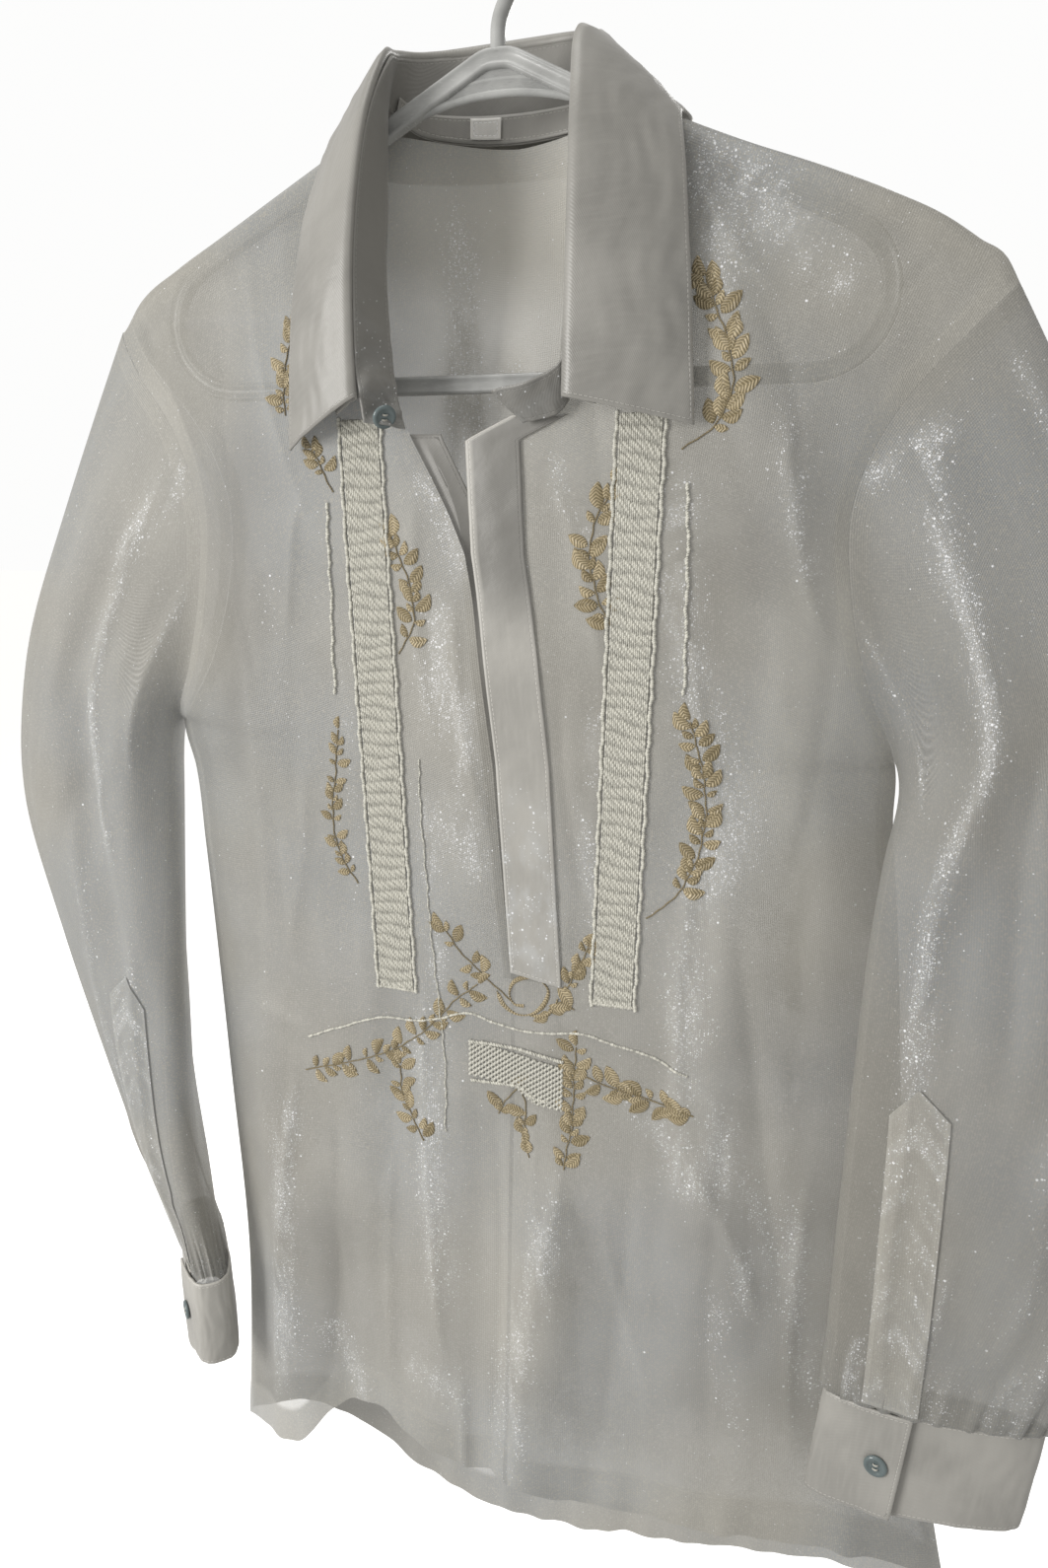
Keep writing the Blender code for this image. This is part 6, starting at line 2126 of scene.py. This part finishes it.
class BARONG_OT_collar(bpy.types.Operator):
    """Makes the collar's stand and leaf, and the tape and bare label inside its back"""

    bl_idname = "barong.collar"
    bl_label = "Collar"

    def execute(self, context):
        smooth = satin("collar_satin", SATIN_TONES["collar"])
        grid = stand_grid()
        fields, down, across = strip_fields(grid)
        middle = np.linspace(0, 1, grid.shape[1])[None, :] + 0 * down
        # painted glints at the stand's two ends, and painted shade over all of it, deepest at the wearer's
        # left end
        fields["painted_sheen"] = 0.22 * ease((0.12 - middle) / 0.1) + 0.16 * ease((middle - 0.9) / 0.08)
        fields["shade"] = 0.45 + 0.15 * ease((middle - 0.88) / 0.05) + 0 * down
        mesh = strip_mesh("satin_stand", grid, fields, down, across)
        outward_from_neck(mesh, grid)
        stand = add_piece("satin_stand", mesh, smooth, "satin_facing", ("collar_stand",))
        walled(stand, SATIN_WALLS["collar"])
        grid = leaf_grid()
        fields, down, across = strip_fields(grid)
        lower = down[-1:] - down
        sides = np.minimum(across, across[:, -1:] - across)
        fields["from_edge"] = np.minimum(lower, sides)
        fields["along"] = np.where(lower < sides, across, down)
        mesh = strip_mesh("satin_leaf", grid, fields, down, across)
        outward_from_neck(mesh, grid)
        leaf = add_piece("satin_leaf", mesh, smooth, "satin_facing", ("collar_leaf",))
        walled(leaf, SATIN_WALLS["collar"])
        self.inside()
        return {"FINISHED"}

    def inside(self):
        """Sews the tape and the label inside the back of the stand."""
        up = np.linspace(0.0, NECK_FACING_HEIGHT, 10)[:, None]
        along = np.linspace(*NECK_FACING, 110)[None, :]
        grid = on_stand(along, up, FACING_LIFT)
        fields, down, across = strip_fields(grid)
        mesh = strip_mesh("neck_tape", grid, fields, down, across)
        outward_from_neck(mesh, grid, inside=True)
        tape = add_piece("neck_tape", mesh, satin("tape_satin", SATIN_TONES["tape"]),
                         "sheer_organza", ("neck_facing",))
        walled(tape, SATIN_WALLS["tape"])
        up = np.linspace(*LABEL_HEIGHT, 12)[:, None]
        along = np.linspace(*LABEL, 16)[None, :]
        grid = on_stand(along, up, LABEL_LIFT)
        fields, down, across = strip_fields(grid)
        mesh = strip_mesh("woven_label", grid, fields, down, across)
        outward_from_neck(mesh, grid, inside=True)
        label = add_piece("woven_label", mesh, satin("label_weave", 1.0, LABEL_COLOUR), "label_tape",
                          ("size_label",))
        walled(label, SATIN_WALLS["label"])


class BARONG_OT_plackets(bpy.types.Operator):
    """Sews the two plackets of the neck's slit"""

    bl_idname = "barong.plackets"
    bl_label = "Plackets"

    def execute(self, context):
        for side, name, node, slot_name, size in (
            (WEARERS_LEFT, "front_placket", "over_placket", "satin_facing", (0.028, 0.275)),
            (WEARERS_RIGHT, "hidden_placket", "under_placket", "sheer_organza", (0.021, 0.275)),
        ):
            grid = placket_grid(side)
            fields, down, across = strip_fields(grid)
            share = down / down[-1:]
            # painted shade over each placket's top, past a strip along its first edge, and painted sheen on
            # its lower part
            fields["shade"] = 0.98 * ease((0.42 - share) / 0.14) * ease((across - 2.4) / 1.6) + 0 * down
            fields["painted_sheen"] = 0.9 * ease((share - 0.60) / 0.2) * (0.5 + 0.5 * ripples(down, across, 26.0))
            fields["painted_sheen"] = np.clip(fields["painted_sheen"], 0, 1)
            mesh = strip_mesh(name, grid, fields, down, across)
            outward(mesh, (0, -1, 0))
            paler = satin(name + "_satin", SATIN_TONES["placket"])
            piece = add_piece(name, mesh, paler, slot_name, (node,))
            walled(piece, SATIN_WALLS["placket"])
        return {"FINISHED"}


class BARONG_OT_bands(bpy.types.Operator):
    """Works the two ladder bands and the small woven box in cream thread"""

    bl_idname = "barong.bands"
    bl_label = "Ladder bands"

    def execute(self, context):
        settings = sizes()
        thick, pitch, cord = settings.thread_radius / MM, settings.rung_pitch / MM, settings.cord_radius / MM
        thread = spun_thread("cream_ladder_thread", colours().cream_thread)
        for side, word, slant in ((WEARERS_RIGHT, "right", 0.02), (WEARERS_LEFT, "left", -0.16)):
            top_x, top, bottom_x, bottom = BANDS[side]
            bundles = [ladder(top_x, top, bottom_x, bottom, BAND_WIDTH - 3.5, pitch, thick, slant)]
            for hand in (-0.5, 0.5):
                line_level = np.linspace(top + 1, bottom - 1, 60)
                line_x = np.linspace(top_x, bottom_x, 60) + hand * (BAND_WIDTH - 0.6)
                bundles.append(plied_cord(line_x, line_level, cord, 0.8, 1.9, 0.7))
            line_x = np.linspace(bottom_x - BAND_WIDTH / 2, bottom_x + BAND_WIDTH / 2, 20)
            bundles.append(plied_cord(line_x, bottom + 0 * line_x - slant * 6, 0.8 * cord, 0.8, 1.9, 0.5))
            mesh = thread_mesh(f"thread_ladder_{word}", bundles, 4)
            add_piece(f"thread_ladder_{word}", mesh, thread, "cream_thread", (f"ladder_band_{word}",))
        cords = [plied_cord(*spread(line, 0.5), cord, 1.2, 2.9, 0.6) for line in BOX_CORDS]
        mesh = thread_mesh("thread_box", [woven_box(thick), *cords], 4)
        add_piece("thread_box", mesh, thread, "cream_thread", ("box_band",))
        return {"FINISHED"}


class BARONG_OT_cords(bpy.types.Operator):
    """Couches the beaded cream cords beside the bands and across the waist"""

    bl_idname = "barong.cords"
    bl_label = "Cords"

    def execute(self, context):
        radius = sizes().cord_radius / MM
        bundles = [
            plied_cord(*spread(line, 0.5), share * radius, 0.6, 2.3, 0.9)
            for line, share in zip(CORDS, CORD_SIZES, strict=True)
        ]
        thread = spun_thread("cream_cord_thread", colours().cream_thread, 0.0022)
        add_piece("couched_cords", thread_mesh("couched_cords", bundles, 5), thread, "cream_thread")
        return {"FINISHED"}


class BARONG_OT_sprigs(bpy.types.Operator):
    """Embroiders the gold leaf sprigs, their stems and the small scroll under the placket"""

    bl_idname = "barong.sprigs"
    bl_label = "Leaf sprigs"

    def execute(self, context):
        leaves = sprig_leaves(sizes().leaf_length / MM)
        parts = [leaf_shapes(leaves)] + [ribbon_shape(line, SWIRL_WIDTH) for line in SWIRLS]
        points, faces, tones, uvs = pooled(parts)
        mesh = build_mesh("gold_leaves", points, faces, {"tone": tones}, uvs)
        outward(mesh, (0, -1, 0))
        stitched = satin_stitch("gold_satin_stitch", colours().gold_thread)
        add_piece("gold_leaves", mesh, stitched, "cream_thread")
        bundles = [plied_cord(*spread(stem[0], 0.5), 0.25, 0.4, 2.0, 0.3) for stem in SPRIGS]
        stems = spun_thread("gold_stem_thread", [0.62 * c for c in colours().gold_thread], 0.0014)
        add_piece("gold_stems", thread_mesh("gold_stems", bundles, 4), stems, "cream_thread")
        return {"FINISHED"}


class BARONG_OT_buttons(bpy.types.Operator):
    """Sews on the collar's button and the two cuffs' buttons"""

    bl_idname = "barong.buttons"
    bl_label = "Buttons"

    def execute(self, context):
        plastic = moulded_plastic("blue_grey_plastic", colours().button, 0.20)
        dark = moulded_plastic("button_hole_shadow", [0.3 * c for c in colours().button], 0.5)
        thread = spun_thread("button_thread", colours().cream_thread, 0.0012)
        for name, seat, normal in self.places():
            body, holes, stitches = button_meshes("sewn_" + name, seat, normal)
            mesh = joined([body, holes, stitches], "sewn_" + name)
            add_piece("sewn_" + name, mesh, plastic, "blue_grey_button", (name,))
            mesh.materials.append(dark)
            mesh.materials.append(thread)
        return {"FINISHED"}

    def places(self):
        """Each button's node, the middle of its back, and the way it faces."""
        for side, word in SIDES:
            angle = radians(CUFF_BUTTON_ANGLE)
            here = cuff_points(side, CUFF_BUTTON_SHARE, angle)
            beside = cuff_points(side, CUFF_BUTTON_SHARE, angle + 0.02) - here
            below = cuff_points(side, CUFF_BUTTON_SHARE + 0.02, angle) - here
            normal = unit(np.cross(beside, below))
            normal *= np.sign(normal @ (here - cuff_points(side, CUFF_BUTTON_SHARE, angle + pi)))
            yield f"button_cuff_{word}", here + normal * (CUFF_WALL / 2 + 0.3), normal
        seat = on_stand(*COLLAR_BUTTON, WALL / 2 + 0.3)
        normal = unit(seat - on_stand(*COLLAR_BUTTON, 0.0)) - COLLAR_BUTTON_DROOP
        yield "button_collar", seat - COLLAR_BUTTON_HANG, normal


OPERATORS = (
    BARONG_OT_stage, BARONG_OT_hanger, BARONG_OT_panels, BARONG_OT_sleeves, BARONG_OT_cuffs, BARONG_OT_collar,
    BARONG_OT_plackets, BARONG_OT_bands, BARONG_OT_cords, BARONG_OT_sprigs, BARONG_OT_buttons,
)


class BARONG_PT_panel(bpy.types.Panel):
    """Lists the shirt's pieces in the sidebar"""

    bl_idname = "BARONG_PT_panel"
    bl_label = "Barong"
    bl_space_type = "VIEW_3D"
    bl_region_type = "UI"
    bl_category = "Barong"

    def draw(self, context):
        for group in (context.scene.barong_sizes, context.scene.barong_colours):
            box = self.layout.box()
            for name in group.__annotations__:
                box.prop(group, name)
        for operator in OPERATORS:
            self.layout.operator(operator.bl_idname)


CLASSES = (BarongSizes, BarongColours, *OPERATORS, BARONG_PT_panel)


def register():
    for item in CLASSES:
        bpy.utils.register_class(item)
    bpy.types.Scene.barong_sizes = bpy.props.PointerProperty(type=BarongSizes)
    bpy.types.Scene.barong_colours = bpy.props.PointerProperty(type=BarongColours)


def unregister():
    del bpy.types.Scene.barong_sizes
    del bpy.types.Scene.barong_colours
    for item in reversed(CLASSES):
        bpy.utils.unregister_class(item)


def main():
    """Builds every piece in order."""
    register()
    for operator in OPERATORS:
        group, name = operator.bl_idname.split(".")
        getattr(getattr(bpy.ops, group), name)()
    bpy.context.view_layer.update()
    boxes = {"cad": CAD_BOX, "visual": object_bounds()}
    boxes = {name: [list(corner) for corner in box] for name, box in boxes.items()}


if __name__ == "__main__":
    main()
